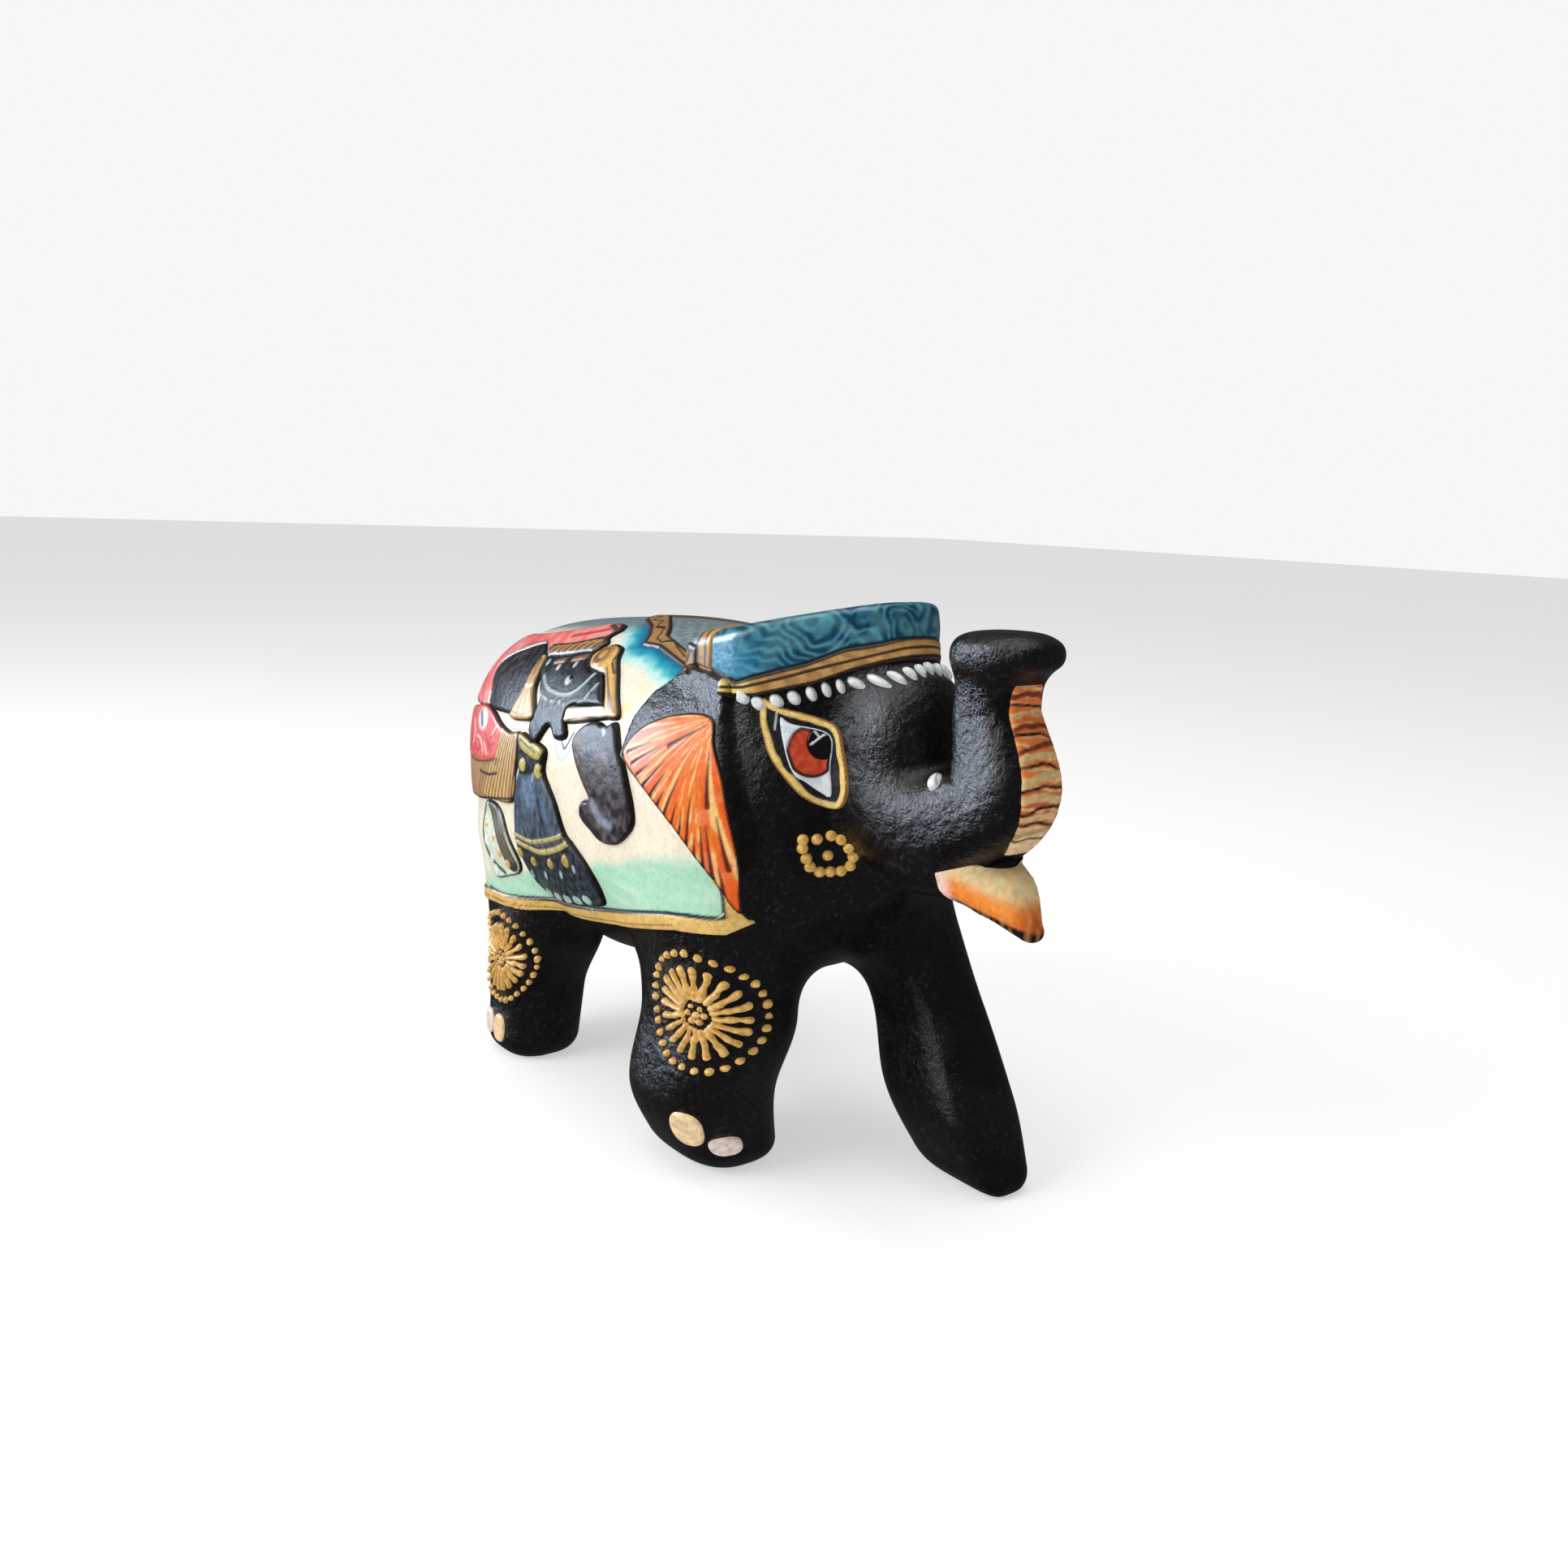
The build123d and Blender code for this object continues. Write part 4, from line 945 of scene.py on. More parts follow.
def paint_ear(y, z):
    coat = Coat(y, z, ORANGE)
    dy, dz = y - EAR_ROOT[0], z - EAR_ROOT[1]
    away = np.hypot(dy, dz)
    lean = np.arctan2(dy, -dz)
    streak = ripple(lean * 12, away * 0.10, 1.7, 18) + 0.4 * ripple(lean * 12, away * 0.25, 0.8, 19)
    coat.wash(smooth_step(0.20, 0.75, streak) * 0.85, rgb(240, 200, 130))
    coat.wash(smooth_step(0.10, 0.7, -streak) * 0.8, rgb(222, 84, 20))
    coat.wash(smooth_step(0.5, 1.0, ripple(y, z, 4.5, 20)) * 0.3, rgb(238, 160, 110))
    for run in EAR_RAYS:
        coat.stroke(run, 0.62, rgb(96, 28, 12), -0.06, soft=0.22, taper=True)
    coat.stroke(EAR_PANEL[:8], 0.3, rgb(60, 36, 26))
    return coat


def paint_tusk(y, z):
    coat = Coat(y, z, rgb(240, 232, 208))
    coat.stroke([(11.6, 57.9), (8.4, 58.8), (4.6, 59.2)], 0.3, rgb(150, 128, 98))
    coat.stroke([(12.0, 59.5), (8.0, 60.2), (4.2, 60.8)], 0.2, TEAL_INK)
    return coat


# ---------------------------------------------------------------- pieces
SIDES = ((-1, "r"), (1, "l"))
HEAD_CENTRE = (0, -20, 62)


def crop(sheet, side, y_range, z_range):
    """The share of a sheet on one side of the spine (0 for both) within ranges of y and z."""
    points, normals, valid = sheet
    x, y, z = parts_of(sheet)
    here = valid & (x * side > -0.25 if side else valid)
    inside = here & (y > y_range[0]) & (y < y_range[1]) & (z > z_range[0]) & (z < z_range[1])
    rows, columns = np.nonzero(inside.any(1))[0], np.nonzero(inside.any(0))[0]
    cut = np.s_[rows[0]:rows[-1] + 1, columns[0]:columns[-1] + 1]
    return points[cut], normals[cut], here[cut]


def around_back(points):
    """mm round the back from the level of the torso's axis."""
    return BARREL * np.arctan2(points[..., 2] - BARREL_Z, np.abs(points[..., 0]))


FIGURE_EDGE = 0.7  # how far in a raised figure's rounded rim goes
PASTE_SHADE = 0.6  # share of its brightness that a coat of dark paste keeps
RIM = rgb(30, 24, 22)


# Figures as name, outlines, painter, slot, height of the rim, rise over it, outlines that lie over them
FIGURES = (
    ("figure_body", [BODY], paint_body, "relief_paste", 0.30, 0.55, []),
    ("figure_cap", [CROWN], paint_crown, "coral_paint", 0.30, 0.55, [BODY, FACE]),
    ("figure_face", [FACE], paint_face, "relief_paste", 0.34, 0.55, [TASSEL_REAR, TASSEL_FRONT]),
    ("figure_tusk", [TUSK], paint_tusk, "white_paint", 0.30, 0.75, []),
    ("figure_trunk", [NOSE], paint_nose, "relief_paste", 0.30, 0.70, [FACE]),
    ("figure_cloth", [CLOTH], paint_cloth, "coral_paint", 0.32, 0.55, []),
    ("figure_leg", [LEG], paint_leg, "relief_paste", 0.30, 0.65, [CLOTH, FACE]),
    ("figure_rope", [ROPE], paint_rope, "gold_paint", 0.30, 0.35, [CLOTH]),
    ("figure_tassels", [TASSEL_REAR, TASSEL_FRONT], paint_tassels, "gold_paint", 0.40, 0.60, []),
    ("ear_panel", [EAR_PANEL], paint_ear, "orange_enamel", 0.20, 0.10, []),
)


def figure(side, mark, name, outlines, painter, slot, base, rise, hidden):
    """Raised figure on a flank, from one or more outlines less the ones that lie over it."""
    corners = np.array([corner for points in outlines for corner in points])
    low, high = corners.min(0) - 1, corners.max(0) + 1
    sheet = crop(BARREL_SHEET, side, (low[0], high[0]), (low[1], high[1]))
    _, y, z = parts_of(sheet)
    keep = np.max([outline(y, z, ring_round(points)) for points in outlines], axis=0)
    for points in hidden:
        keep = np.minimum(keep, 0.1 - outline(y, z, ring_round(points)))
    coat = painter(y, z)
    if slot == "relief_paste":
        coat.colour *= PASTE_SHADE
    coat.wash(smooth_step(0.36, 0.16, keep), RIM)
    lay(f"{name}_{mark}", slot, sheet, keep, coat, base, rise, FIGURE_EDGE)


def carved_block():
    block = mesh_object("carved_block", SKIN_POINTS, SKIN_QUADS)
    put(block, "black_lacquer_wood", "carving")


def flank(side, mark):
    """Picture ground, its border, the raised elephant and the ear paint on one flank."""
    sheet = crop(BARREL_SHEET, side, (-25, 50), (22, 80))
    x, y, z = parts_of(sheet)
    t = around_back(sheet[0])
    rear = 49.6 - 0.02 * (z - 48) ** 2 - y
    keep = np.minimum.reduce([outline(y, z, GROUND), -outline(y, t, SADDLE_OUTER), side * x + 0.2, rear])
    lay(f"picture_{mark}", "picture_enamel", sheet, keep, paint_ground(y, z, t), 0.16)
    keep = np.minimum(outline(y, z, BORDER), rear)
    lay(f"picture_border_{mark}", "gold_paint", sheet, keep, paint_border(y, z), 0.28, 0.2)
    for row in FIGURES:
        figure(side, mark, *row)


def back_coats():
    """Saddle cloth with its scalloped band, and the strip across the neck."""
    sheet = crop(BARREL_SHEET, 0, (-16, 30), (62, 80))
    _, y, z = parts_of(sheet)
    t = around_back(sheet[0])
    inner, outer = outline(y, t, SADDLE_INNER), outline(y, t, SADDLE_OUTER)
    coat = Coat(y, t, rgb(118, 142, 146))
    coat.mottle(2.6, 21, 0.7, rgb(96, 124, 132))
    coat.mottle(1.4, 22, 0.6, rgb(152, 168, 168))
    for k in range(7):
        coat.dot((-8.4 + 0.2 * k, 23.2 + 2.2 * k), 0.75, rgb(226, 190, 186), 0.08, squash=0.8)
        coat.dot((-6.6 + 0.2 * k, 24.1 + 2.2 * k), 0.5, rgb(238, 224, 196), 0.08)
    lay("saddle", "saddle_enamel", sheet, np.minimum(inner, y + 10.4), coat, 0.2)

    coat = Coat(y, t, rgb(178, 136, 82))
    coat.mottle(2.0, 23, 0.5, rgb(150, 108, 62))
    along = np.hypot(y + 10, 38 - t)
    beat = np.abs(((along / 3.4) % 1) - 0.5) * 2
    middle = outer - 1.1 - 1.3 * (1 - beat)
    coat.rule(middle, 0.35, 0.15, rgb(64, 36, 22))
    coat.rule(outer - 0.25, 0.5, 0.3, rgb(58, 34, 22))
    coat.rule(inner + 0.2, 0.45, 0.25, rgb(58, 36, 24))
    keep = np.minimum.reduce([outer, -inner, y + 10.4])
    lay("saddle_band", "gold_paint", sheet, keep, coat, 0.26, 0.25)

    coat = Coat(y, t, rgb(214, 164, 84))
    coat.mottle(2.4, 24, 0.6, rgb(170, 116, 56))
    coat.wash(np.full(y.shape, 0.35), rgb(120, 84, 44))
    coat.stroke([(-10.7, 16), (-10.7, 38)], 0.6, rgb(52, 34, 24))
    coat.stroke([(-12.4, 16), (-12.3, 38)], 0.4, rgb(52, 34, 24))
    front = np.interp(t, [14, 22, 30, 38], [-13.6, -13.4, -12.8, -12.6])
    keep = np.minimum.reduce([-10.3 - y, y - front, t - 16.5, -outline(y, z, list(EAR)) - 0.1])
    lay("neck_strip", "gold_paint", sheet, keep, coat, 0.26, 0.2)


# Edges and middle line of the gold band, as z over y
BAND_TOP = ([-36, -32.2, -31.1, -28, -24.8, -22.2, -18.5, -12.6],
            [73.5, 73.3, 72.7, 71.8, 69.8, 68.7, 67.0, 68.2])
BAND_LOW = ([-36, -33.1, -31.5, -28.5, -25.5, -23.1, -20.5, -18, -12.6],
            [70.9, 70.8, 70.3, 69.1, 67.4, 66.5, 65.5, 65.2, 66.4])
BAND_MID = ([-36, -32.6, -28.4, -25.6, -22.8, -19.4, -17], [72.2, 72.0, 70.4, 69.2, 67.9, 66.5, 66.2])
# Centres of the cap's swirls, as x, y
CAP_CURLS = [(-12, -27), (-8.5, -33), (-4, -24), (-2, -33.5), (3, -29), (5, -20), (8, -33), (11, -25),
             (-11, -18)]


def head_coats():
    """Teal cap with its swirls and the gold band below it."""
    x, y, z = parts_of(HEAD_SHEET)
    along = np.hypot(x, y + 20) * np.arctan2(y + 20, np.abs(x) + 4) / 1.2
    coat = Coat(along, z + 0.5 * np.hypot(x, y + 20), rgb(16, 92, 120))
    bend = 3.4 * ripple(x + 0.3 * z, y + z, 7, 25) + 1.2 * ripple(x, y + z, 3, 52)
    curls = np.min([np.sqrt((x - u) ** 2 + (y - v) ** 2 + (z - 75) ** 2) for u, v in CAP_CURLS], axis=0)
    wave = np.sin(curls * 7.2 + bend)
    coat.wash(smooth_step(0.1, 0.9, wave) * 0.5, rgb(92, 162, 174))
    coat.wash(smooth_step(0.0, 0.8, -wave) * 0.8, rgb(6, 46, 70))
    coat.mottle(3.4, 39, 0.25, rgb(10, 82, 116), 1.5, 0.4)
    coat.mottle(2.6, 26, 0.25, rgb(120, 186, 190), 1.5, 0.9)
    # Painted light: the lower rear of the cap, on the side facing the light, is washed a brighter blue.
    coat.wash(smooth_step(73.6, 69.6, z) * smooth_step(-24, -17, y) * 0.6, rgb(52, 150, 196))
    top, low, mid = (np.interp(y, *edge) for edge in (BAND_TOP, BAND_LOW, BAND_MID))
    coat.rule(z - top, 0.5, 0.2, rgb(14, 50, 66))
    front = y - np.interp(z, [70, 74, 78], [-35.4, -34.6, -33.8])
    keep = np.minimum.reduce([-12.9 - y, z - top, -outline(y, z, list(EAR)) - 0.1, front + 1.0])
    lay("cap", "teal_enamel", HEAD_SHEET, keep, coat, 0.18)

    coat = Coat(y, z, rgb(196, 150, 84))
    coat.mottle(1.8, 27, 0.6, rgb(152, 106, 58))
    # Painted highlight: the band is brown-gold, and bright yellow at its rear, on the side facing the light.
    coat.wash(smooth_step(-21.0, -19.0, y), rgb(244, 216, 120))
    coat.rule(z - mid, 0.28, 0.12, rgb(66, 44, 28))
    coat.rule(z - top + 0.1, 0.42, 0.2, rgb(50, 36, 28))
    coat.rule(z - low - 0.1, 0.42, 0.2, rgb(50, 36, 28))
    keep = np.minimum.reduce([top - z, z - low, -17.0 - y, front + 1.0])
    lay("cap_band", "gold_paint", HEAD_SHEET, keep, coat, 0.3, 0.25)


# Pearls of each facet, as mm along it, z, half width, half height; then the brow's, as x, z
FACET_PEARLS = [(-1.2, 64.4, 0.85, 0.8), (0.3, 65.3, 0.9, 0.9), (2.4, 64.6, 0.85, 0.8),
                (4.6, 65.0, 0.8, 0.8), (6.7, 65.5, 0.75, 0.8), (8.8, 66.1, 0.6, 0.8),
                (10.6, 66.7, 0.52, 0.8), (12.3, 67.2, 0.48, 0.75)]
BROW_PEARLS = [(-6.9, 67.8), (-5.5, 68.3), (-4.1, 68.8), (-2.7, 69.3), (-1.3, 69.6), (0.1, 69.8),
               (1.5, 69.6), (2.9, 69.3), (4.3, 68.8), (5.7, 68.3), (7.1, 67.8)]
EYE_RING = [(2.9, 65.2), (2.7, 62.9), (3.2, 60.9), (4.2, 58.4), (6.2, 55.9), (8.4, 53.7), (10.9, 52.5),
            (13.0, 52.5), (13.9, 54.2), (13.8, 56.6), (13.1, 59.8), (12.5, 61.8), (11.4, 62.7), (8.7, 63.5),
            (5.3, 64.2)]
EYE_WHITE = [(5.2, 62.9), (6.6, 62.3), (11.4, 61.2), (11.6, 57.3), (11.9, 53.9), (10.4, 54.3), (8.6, 55.5),
             (7.2, 56.4), (6.0, 59.1)]
IRIS = (9.3, 59.2, 3.2)  # along the facet, z, radius
PUPIL = (10.5, 60.2, 2.0)
ROSETTE = [(10.4, 48.3), (12.1, 48.8), (13.3, 48.4), (14.3, 47.3), (9.2, 45.9), (9.7, 44.8), (10.9, 44.1),
           (12.2, 44.1), (13.5, 44.2), (14.6, 44.9), (14.9, 46.1), (8.7, 48.3), (8.7, 47.2)]


def along_facet(out, y):
    """mm along the facet from the head's corner towards the brow."""
    return (HEAD_HALF - out) * FACET_X + (CORNER_Y - y) * FACET_Y


def face_coats(side, mark):
    """Eye and rosette, painted on the slanted facet of one side."""
    sheet = plate_sheet((side * HEAD_HALF, CORNER_Y, 0), (-side * FACET_X, -FACET_Y, 0), (0, 0, 1),
                        (side * FACET_Y, -FACET_X, 0), (-2, 19), (41, 68), PITCH * 0.8)
    x, y, z = parts_of(sheet)
    d = along_facet(side * x, y)
    ring = outline(d, z, ring_round(EYE_RING))
    white = outline(d, z, ring_round(EYE_WHITE))
    iris = np.minimum(IRIS[2] - np.hypot(d - IRIS[0], z - IRIS[1]), white - 0.12)
    pupil = np.minimum(PUPIL[2] - np.hypot(d - PUPIL[0], z - PUPIL[1]), white - 0.2)

    coat = Coat(d, z, rgb(22, 20, 24))
    coat.mottle(1.2, 28, 0.3, rgb(52, 56, 66))
    coat.wash(smooth_step(0.85, 0.72, ring + 0.12 * ripple(d, z, 3, 41)), rgb(238, 204, 120))
    coat.wash(smooth_step(0.2, 0.05, ring), rgb(150, 104, 52))
    coat.high += 0.25 * smooth_step(1.0, 0.65, ring)
    coat.stroke([(4.7, 63.6), (4.6, 61.6)], 0.22, rgb(190, 200, 206))
    keep = np.minimum(ring, -white + 0.1)
    lay(f"eye_ring_{mark}", "gold_paint", sheet, keep, coat, 0.2)

    coat = Coat(d, z, rgb(226, 232, 236))
    coat.mottle(2.0, 29, 0.4, rgb(176, 196, 212))
    coat.stroke([(11.2, 61.2), (12.1, 58), (12.5, 54)], 0.3, rgb(150, 190, 214))
    lay(f"eye_white_{mark}", "white_paint", sheet, np.minimum(white, 0.1 - iris), coat, 0.3, 0.1)

    coat = Coat(d, z, rgb(190, 58, 28))
    coat.mottle(1.6, 30, 0.5, rgb(226, 92, 48))
    coat.wash(smooth_step(0.5, 0.25, iris), rgb(60, 24, 20))
    lay(f"iris_{mark}", "red_paint", sheet, np.minimum(iris, 0.1 - pupil), coat, 0.36, 0.2)

    coat = Coat(d, z, rgb(16, 14, 18))
    coat.stroke([(9.0, 60.0), (10.4, 61.1), (11.4, 61.5)], 0.22, WHITE)
    coat.stroke([(9.4, 61.6), (10.0, 60.9)], 0.2, WHITE)
    lay(f"pupil_{mark}", "black_paint", sheet, pupil, coat, 0.44, 0.25)

    blobs = [0.62 - np.hypot(d - u, z - v) for u, v in ROSETTE]
    keep = np.max(blobs + [0.6 - np.hypot(d - 11.8, z - 46.2)], axis=0)
    coat = Coat(d, z, rgb(236, 190, 100))
    coat.mottle(0.9, 31, 0.5, rgb(200, 138, 64))
    lay(f"rosette_{mark}", "gold_paint", sheet, keep, coat, 0.2, 0.5, 0.7)


def pearl(across, z, u, v, half, high, slant):
    """Distance inside one slanted oval drop."""
    return (1 - np.hypot((across - u + slant * (z - v)) / half, (z - v) / high)) * half


def pearls():
    """Round drops of white paint under the gold band."""
    sheet = dome_sheet(HEAD_CENTRE, 2, 42, 0.25, (176, 364), 18.8)
    x, y, z = parts_of(sheet)
    d = along_facet(np.abs(x), y)
    on_facet, on_brow = (y >= -31.2) & (y <= -17), (y >= -37) & (y <= -27.5)
    drops = [np.where(on_facet, pearl(d, z, *oval_drop, 0.3), -9) for oval_drop in FACET_PEARLS]
    drops += [np.where(on_brow, pearl(x, z, u, v, 0.44, 0.58, 0.2), -9) for u, v in BROW_PEARLS]
    coat = Coat(x, z, rgb(228, 232, 230))
    coat.mottle(1.1, 32, 0.4, rgb(176, 186, 196))
    lay("forehead_pearls", "white_paint", sheet, np.max(drops, axis=0), coat, 0.2, 0.55, 0.5)


# Stripes down the trunk, as z, width and tone
STRIPE_TONES = (rgb(112, 52, 30), rgb(28, 20, 20), rgb(214, 186, 128), rgb(168, 160, 96))
STRIPES = [(68.9, 0.6, 0), (67.7, 0.3, 1), (66.7, 0.5, 2), (65.3, 0.5, 0), (64.4, 0.3, 1), (63.2, 0.5, 0),
           (62.2, 0.6, 2), (61.2, 0.3, 1), (60.0, 0.9, 2), (58.9, 0.3, 1), (57.7, 0.9, 2), (56.6, 0.35, 1),
           (55.7, 0.5, 2), (54.8, 0.3, 1), (53.8, 0.5, 3), (52.9, 0.2, 1)]


def trunk_beads():
    """White dot on each side of the trunk's root."""
    for side, mark in SIDES:
        sheet = plate_sheet((side * 8, -42.4, 57.6), (0, 1, 0), (0, 0, 1), (side, 0, 0), (-2, 2), (-2, 2),
                            0.08)
        _, y, z = parts_of(sheet)
        keep = 0.8 - np.hypot(y + 42.5, z - 57.8)
        coat = Coat(y, z, WHITE)
        coat.mottle(1.0, 33, 0.5, rgb(190, 200, 206))
        lay(f"trunk_bead_{mark}", "white_paint", sheet, keep, coat, 0.2, 0.6, 0.7)


def trunk_stripes():
    """Striped enamel down the front of the trunk."""
    turn, level = np.radians(np.arange(195, 345, PITCH * 10)), np.arange(48, 72, PITCH)
    tt, zz = np.meshgrid(turn, level, indexing="ij")
    middle = np.interp(zz, [50, 55, 60, 66, 71], [-43, -46.4, -47.6, -46.6, -46.6])
    out = np.stack([np.cos(tt), np.sin(tt), 0 * tt], -1)
    sheet = drape(np.stack([0 * tt, middle, zz], -1) + out * 9, -out)
    x, _, z = parts_of(sheet)
    half = np.interp(z, [50, 52, 58, 64, 69, 71], [1.4, 2.4, 3.2, 2.7, 2.3, 1.8])
    coat = Coat(x, z, rgb(232, 120, 52))
    coat.wash(smooth_step(66, 60, z), rgb(226, 130, 62))
    coat.wash(smooth_step(59.5, 56.5, z) * smooth_step(50.5, 52.5, z), rgb(196, 92, 48))
    wave = np.sin(5.6 * z + 0.5 * x + 1.2 * ripple(x, z, 4, 53))
    coat.wash(smooth_step(0.1, 0.8, wave) * 0.75, rgb(236, 204, 146))
    coat.wash(smooth_step(56.0, 52.4, z) * 0.85, rgb(240, 214, 168))
    for k, (level, wide, tone) in enumerate(STRIPES):
        sag = 0.05 * x * x + 0.12 * math.sin(k * 2.1) * x + 0.10 * ripple(x, z, 3, 50 + k)
        coat.rule(z - level + sag, wide * 0.5 + 0.12, wide * 0.5 - 0.05, STRIPE_TONES[tone])
    coat.mottle(1.2, 34, 0.25, rgb(176, 88, 48))
    keep = np.minimum.reduce([half - np.abs(x), z - 50.6, 69.8 - z])
    lay("trunk_stripes", "orange_enamel", sheet, keep, coat, 0.22, 0.12)


def lip_coat():
    """Coat over the front of the open lip: cream above, orange at the sides, black below."""
    sheet = dome_sheet((0, -47.5, 46.8), -62, 34, 1.1, (150, 390), 10.5)
    x, y, z = parts_of(sheet)
    low = np.interp(y, [-55, -51, -46, -42], [41.8, 43.2, 44.8, 45.2])
    side = np.abs(x)
    coat = Coat(x, y, rgb(232, 212, 160))
    coat.wash(smooth_step(-0.6, 1.4, side - np.interp(y, [-54, -50, -46], [1.4, 4.0, 5.4])),
              rgb(242, 140, 44))
    coat.wash(smooth_step(3.4, 1.6, z - low), rgb(242, 140, 44))
    coat.wash(smooth_step(1.4, 0.2, z - low) * 0.5, rgb(222, 100, 34))
    coat.wash(smooth_step(-52.4, -54.2, y) * 0.8, rgb(170, 74, 28))
    coat.wash(smooth_step(0.35, -0.1, z - low), rgb(24, 18, 18))
    coat.wash(smooth_step(3.6, 4.8, side) * smooth_step(-46.4, -44.4, y), rgb(244, 214, 204))
    coat.mottle(1.6, 35, 0.3, rgb(244, 168, 96))
    roof = np.interp(y, [-54, -50, -47, -42], [52, 49.8, 48.6, 46.6])
    keep = np.minimum.reduce([-42.6 - y, z - low + 1.0, roof - z])
    lay("lip_panel", "orange_enamel", sheet, keep, coat, 0.18, 0.1)


# Each leg: way its wheel faces in degrees from +X and its z; its nails as way, z, half width, half height
FEET = {
    "front_r": (217, 24.2, [(221, 7.6, 1.95, 2.6), (250, 5.0, 1.95, 1.5)]),
    "front_l": (26, 24.2, [(344, 7.0, 1.9, 2.4), (372, 5.0, 1.8, 1.6)]),
    "hind_r": (183, 17.1, [(184, 4.4, 1.8, 2.3), (154, 4.6, 1.8, 2.0)]),
    "hind_l": (357, 17.1, [(356, 4.4, 1.8, 2.3), (386, 4.6, 1.8, 2.0)]),
}


# Gold wheel: number of spokes and of beads round them, and sizes in mm on the leg's surface
SPOKES, SPOKE_MIDDLE, SPOKE_HALF = 20, 3.9, 1.75
BEADS, BEAD_RING = 30, 7.7
HUB_RING = 1.1
WHEEL_SPAN = 10  # of its sheet above and below its middle
WHEEL_ROUND, NAIL_ROUND = 8.6, 8.0  # mm of surface per radian round the leg
WHEEL_LIMIT = 2.6  # a wheel stops this far from its own leg's shape
NAIL_POWER = 2.4


def around_leg(leg, points):
    """Azimuth of points round a leg's middle line."""
    cx, cy = leg_middle(leg, points[..., 2])
    return np.arctan2(points[..., 1] - cy, points[..., 0] - cx)


def turn_from(turn, way):
    """Turn from a way in degrees, between minus and plus half a turn."""
    off = turn - math.radians(way)
    return np.arctan2(np.sin(off), np.cos(off))


def nearest_ray(angle, count):
    """Angle of the nearest of evenly spread rays."""
    return np.round(angle / (2 * math.pi) * count) * (2 * math.pi / count)


def medallion(leg, facing, level):
    """Spoked gold wheel on the outside of a leg."""
    sheet = leg_sheet(leg, facing, 75, max(level - WHEEL_SPAN, 1), level + WHEEL_SPAN, PITCH * 0.9)
    x, y, z = parts_of(sheet)
    u = WHEEL_ROUND * turn_from(around_leg(leg, sheet[0]), facing)
    v = z - level
    away, angle = np.hypot(u, v), np.arctan2(v, u)
    ray = nearest_ray(angle, SPOKES)
    along, across = away * np.cos(angle - ray), away * np.sin(angle - ray)
    beyond = np.maximum(np.abs(along - SPOKE_MIDDLE) - SPOKE_HALF, 0)
    spoke = 0.31 - np.hypot(across, beyond) + 0.10 * smooth_step(4.6, 5.4, along)
    ray = nearest_ray(angle, BEADS)
    bead = 0.44 - np.hypot(away * np.cos(angle - ray) - BEAD_RING, away * np.sin(angle - ray))
    hub = np.max([0.33 - np.hypot(u - HUB_RING * math.cos(k), v - HUB_RING * math.sin(k))
                  for k in np.arange(6) * 1.047] + [0.36 - away], axis=0)
    coat = Coat(u, v, rgb(232, 182, 92))
    coat.mottle(1.0, 36, 0.6, rgb(190, 128, 58))
    coat.mottle(1.3, 37, 0.4, rgb(250, 218, 140))
    keep = np.max([spoke, bead, hub], axis=0) + 0.12 * ripple(u, v, 2.2, 40)
    keep = np.minimum(keep, WHEEL_LIMIT - leg_shape(x, y, z, leg))
    lay(f"medallion_{leg}", "gold_paint", sheet, keep, coat, 0.14, 0.4, 0.34)


def toenails(leg, nails):
    """Painted toenails at the foot of a leg."""
    sheet = leg_sheet(leg, sum(nail[0] for nail in nails) / len(nails), 70, 1.2, 12, PITCH * 0.9)
    turn, z = around_leg(leg, sheet[0]), sheet[0][..., 2]
    coat = Coat(turn, z, rgb(245, 212, 165))
    shapes = []
    for k, (way, height, wide, high) in enumerate(nails):
        u = NAIL_ROUND * turn_from(turn, way)
        reach = np.abs(u / wide) ** NAIL_POWER + np.abs((z - height) / high) ** NAIL_POWER
        shapes.append((1 - reach ** (1 / NAIL_POWER)) * wide)
        if k % 2:
            coat.wash(smooth_step(-1.0, 0.0, shapes[-1]), rgb(244, 224, 212))
    coat.colour *= (1 + 0.1 * ripple(turn * 8, z, 1.6, 38))[..., None]
    lay(f"toenails_{leg}", "toenail_paint", sheet, np.max(shapes, axis=0), coat, 0.14, 0.3, 0.6)


BARREL_SHEET = barrel_sheet()
HEAD_SHEET = dome_sheet(HEAD_CENTRE, -2, 89, 0.36)

carved_block()
back_coats()
head_coats()
pearls()
trunk_beads()
trunk_stripes()
lip_coat()
for side, mark in SIDES:
    flank(side, mark)
    face_coats(side, mark)
for leg, (facing, level, nails) in FEET.items():
    medallion(leg, facing, level)
    toenails(leg, nails)


# ---------------------------------------------------------------- stage, lights and camera
WORLD_SEEN, WORLD_LIT = 0.93, 0.40  # strength for camera rays and for other rays
GLOSSY_DROP = 0.32  # how much dimmer the world is for glossy rays


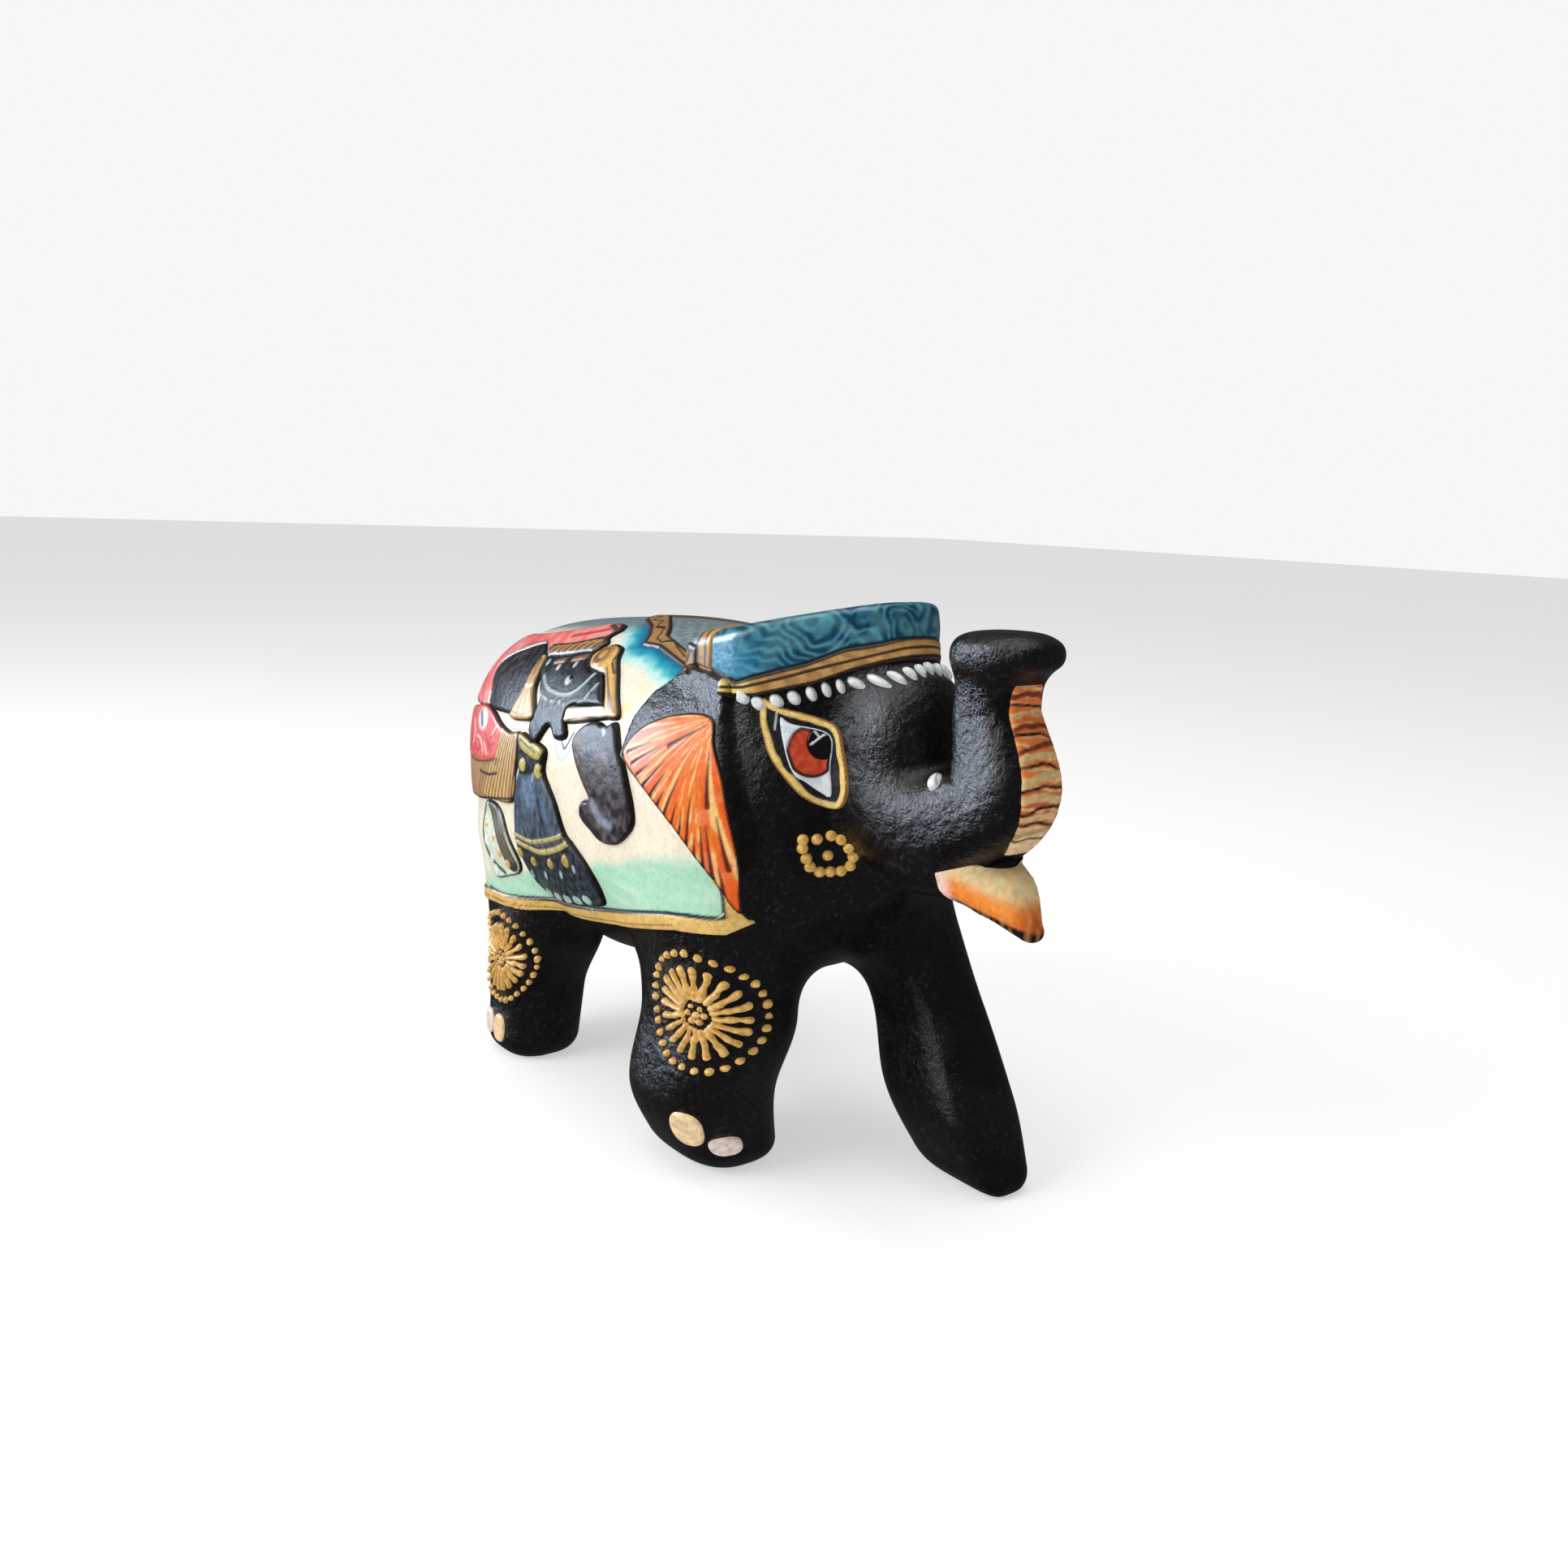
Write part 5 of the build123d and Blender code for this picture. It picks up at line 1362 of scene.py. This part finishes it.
def studio():
    """Pale floor and world, a soft key, a wide overhead light and one that only makes sheen."""
    bpy.ops.mesh.primitive_plane_add(size=6, location=(0, 0, -0.00005))
    floor = bpy.context.object
    floor.name = "studio_floor"
    material, nodes, links, shader = node_material("studio_floor")
    tone = ramp(nodes, links, noise(nodes, links, 3, 2),
                [(0.3, (0.55, 0.55, 0.55)), (0.7, (0.57, 0.57, 0.57))])
    links.new(tone, shader.inputs["Base Color"])
    shader.inputs["Emission Color"].default_value = (1, 1, 1, 1)
    shader.inputs["Emission Strength"].default_value = 0.52
    shader.inputs["Roughness"].default_value = 0.9
    floor.data.materials.append(material)
    floor.visible_glossy = False
    lights = (("key", (-0.44, 0.10, 0.30), 0.30, 1.6), ("overhead", (-0.06, 0.02, 0.60), 0.5, 1.8),
              ("sheen", (-0.36, 0.44, 0.18), 0.24, 5.0))
    for name, spot, size, power in lights:
        data = bpy.data.lights.new(name, "AREA")
        data.size, data.energy = size, power
        data.color = (0.72, 0.84, 1.0) if name == "sheen" else (1.0, 0.985, 0.96)
        light = bpy.data.objects.new(name, data)
        light.location = spot
        light.rotation_euler = (Vector((0, 0, 0.04)) - Vector(spot)).to_track_quat("-Z", "Y").to_euler()
        light.visible_diffuse = name != "sheen"
        bpy.context.scene.collection.objects.link(light)
    world = bpy.data.worlds.new("studio")
    world.use_nodes = True
    sky, wires = world.node_tree.nodes, world.node_tree.links
    seen = sky.new("ShaderNodeLightPath")
    glow = sky.new("ShaderNodeMapRange")
    glow.inputs["To Min"].default_value = WORLD_LIT
    glow.inputs["To Max"].default_value = WORLD_SEEN
    wires.new(seen.outputs["Is Camera Ray"], glow.inputs["Value"])
    shine = sky.new("ShaderNodeMath")
    shine.operation = "MULTIPLY_ADD"
    shine.inputs[1].default_value = -GLOSSY_DROP
    wires.new(seen.outputs["Is Glossy Ray"], shine.inputs[0])
    wires.new(glow.outputs["Result"], shine.inputs[2])
    wires.new(shine.outputs["Value"], sky["Background"].inputs["Strength"])
    sky["Background"].inputs["Color"].default_value = (1, 1, 1, 1)
    bpy.context.scene.world = world


VIEW_ANGLES = (-38.92, 11.53, 2.38)  # azimuth, elevation and roll in degrees
VIEW_PLACE = (-116.90, -152.56, 88.63)  # mm
VIEW_LENS = 31.57


def camera():
    """Three-quarter view from the front right, a little above, with a slight roll."""
    azimuth, elevation, roll = (math.radians(v) for v in VIEW_ANGLES)
    back = Vector((math.sin(azimuth) * math.cos(elevation), -math.cos(azimuth) * math.cos(elevation),
                   math.sin(elevation)))
    right = (-back).cross(Vector((0, 0, 1))).normalized()
    up = right.cross(-back)
    right, up = (math.cos(roll) * right + math.sin(roll) * up, math.cos(roll) * up - math.sin(roll) * right)
    data = bpy.data.cameras.new("view")
    data.sensor_width, data.lens = 36, VIEW_LENS
    data.clip_start, data.clip_end = 0.01, 20
    data.dof.use_dof = False
    obj = bpy.data.objects.new("view", data)
    rotation = Matrix((right, up, back)).transposed().to_4x4()
    obj.matrix_world = Matrix.Translation(Vector(VIEW_PLACE) * MM) @ rotation
    bpy.context.scene.collection.objects.link(obj)
    bpy.context.scene.camera = obj


studio()
camera()
bpy.context.scene.view_settings.view_transform = "Standard"
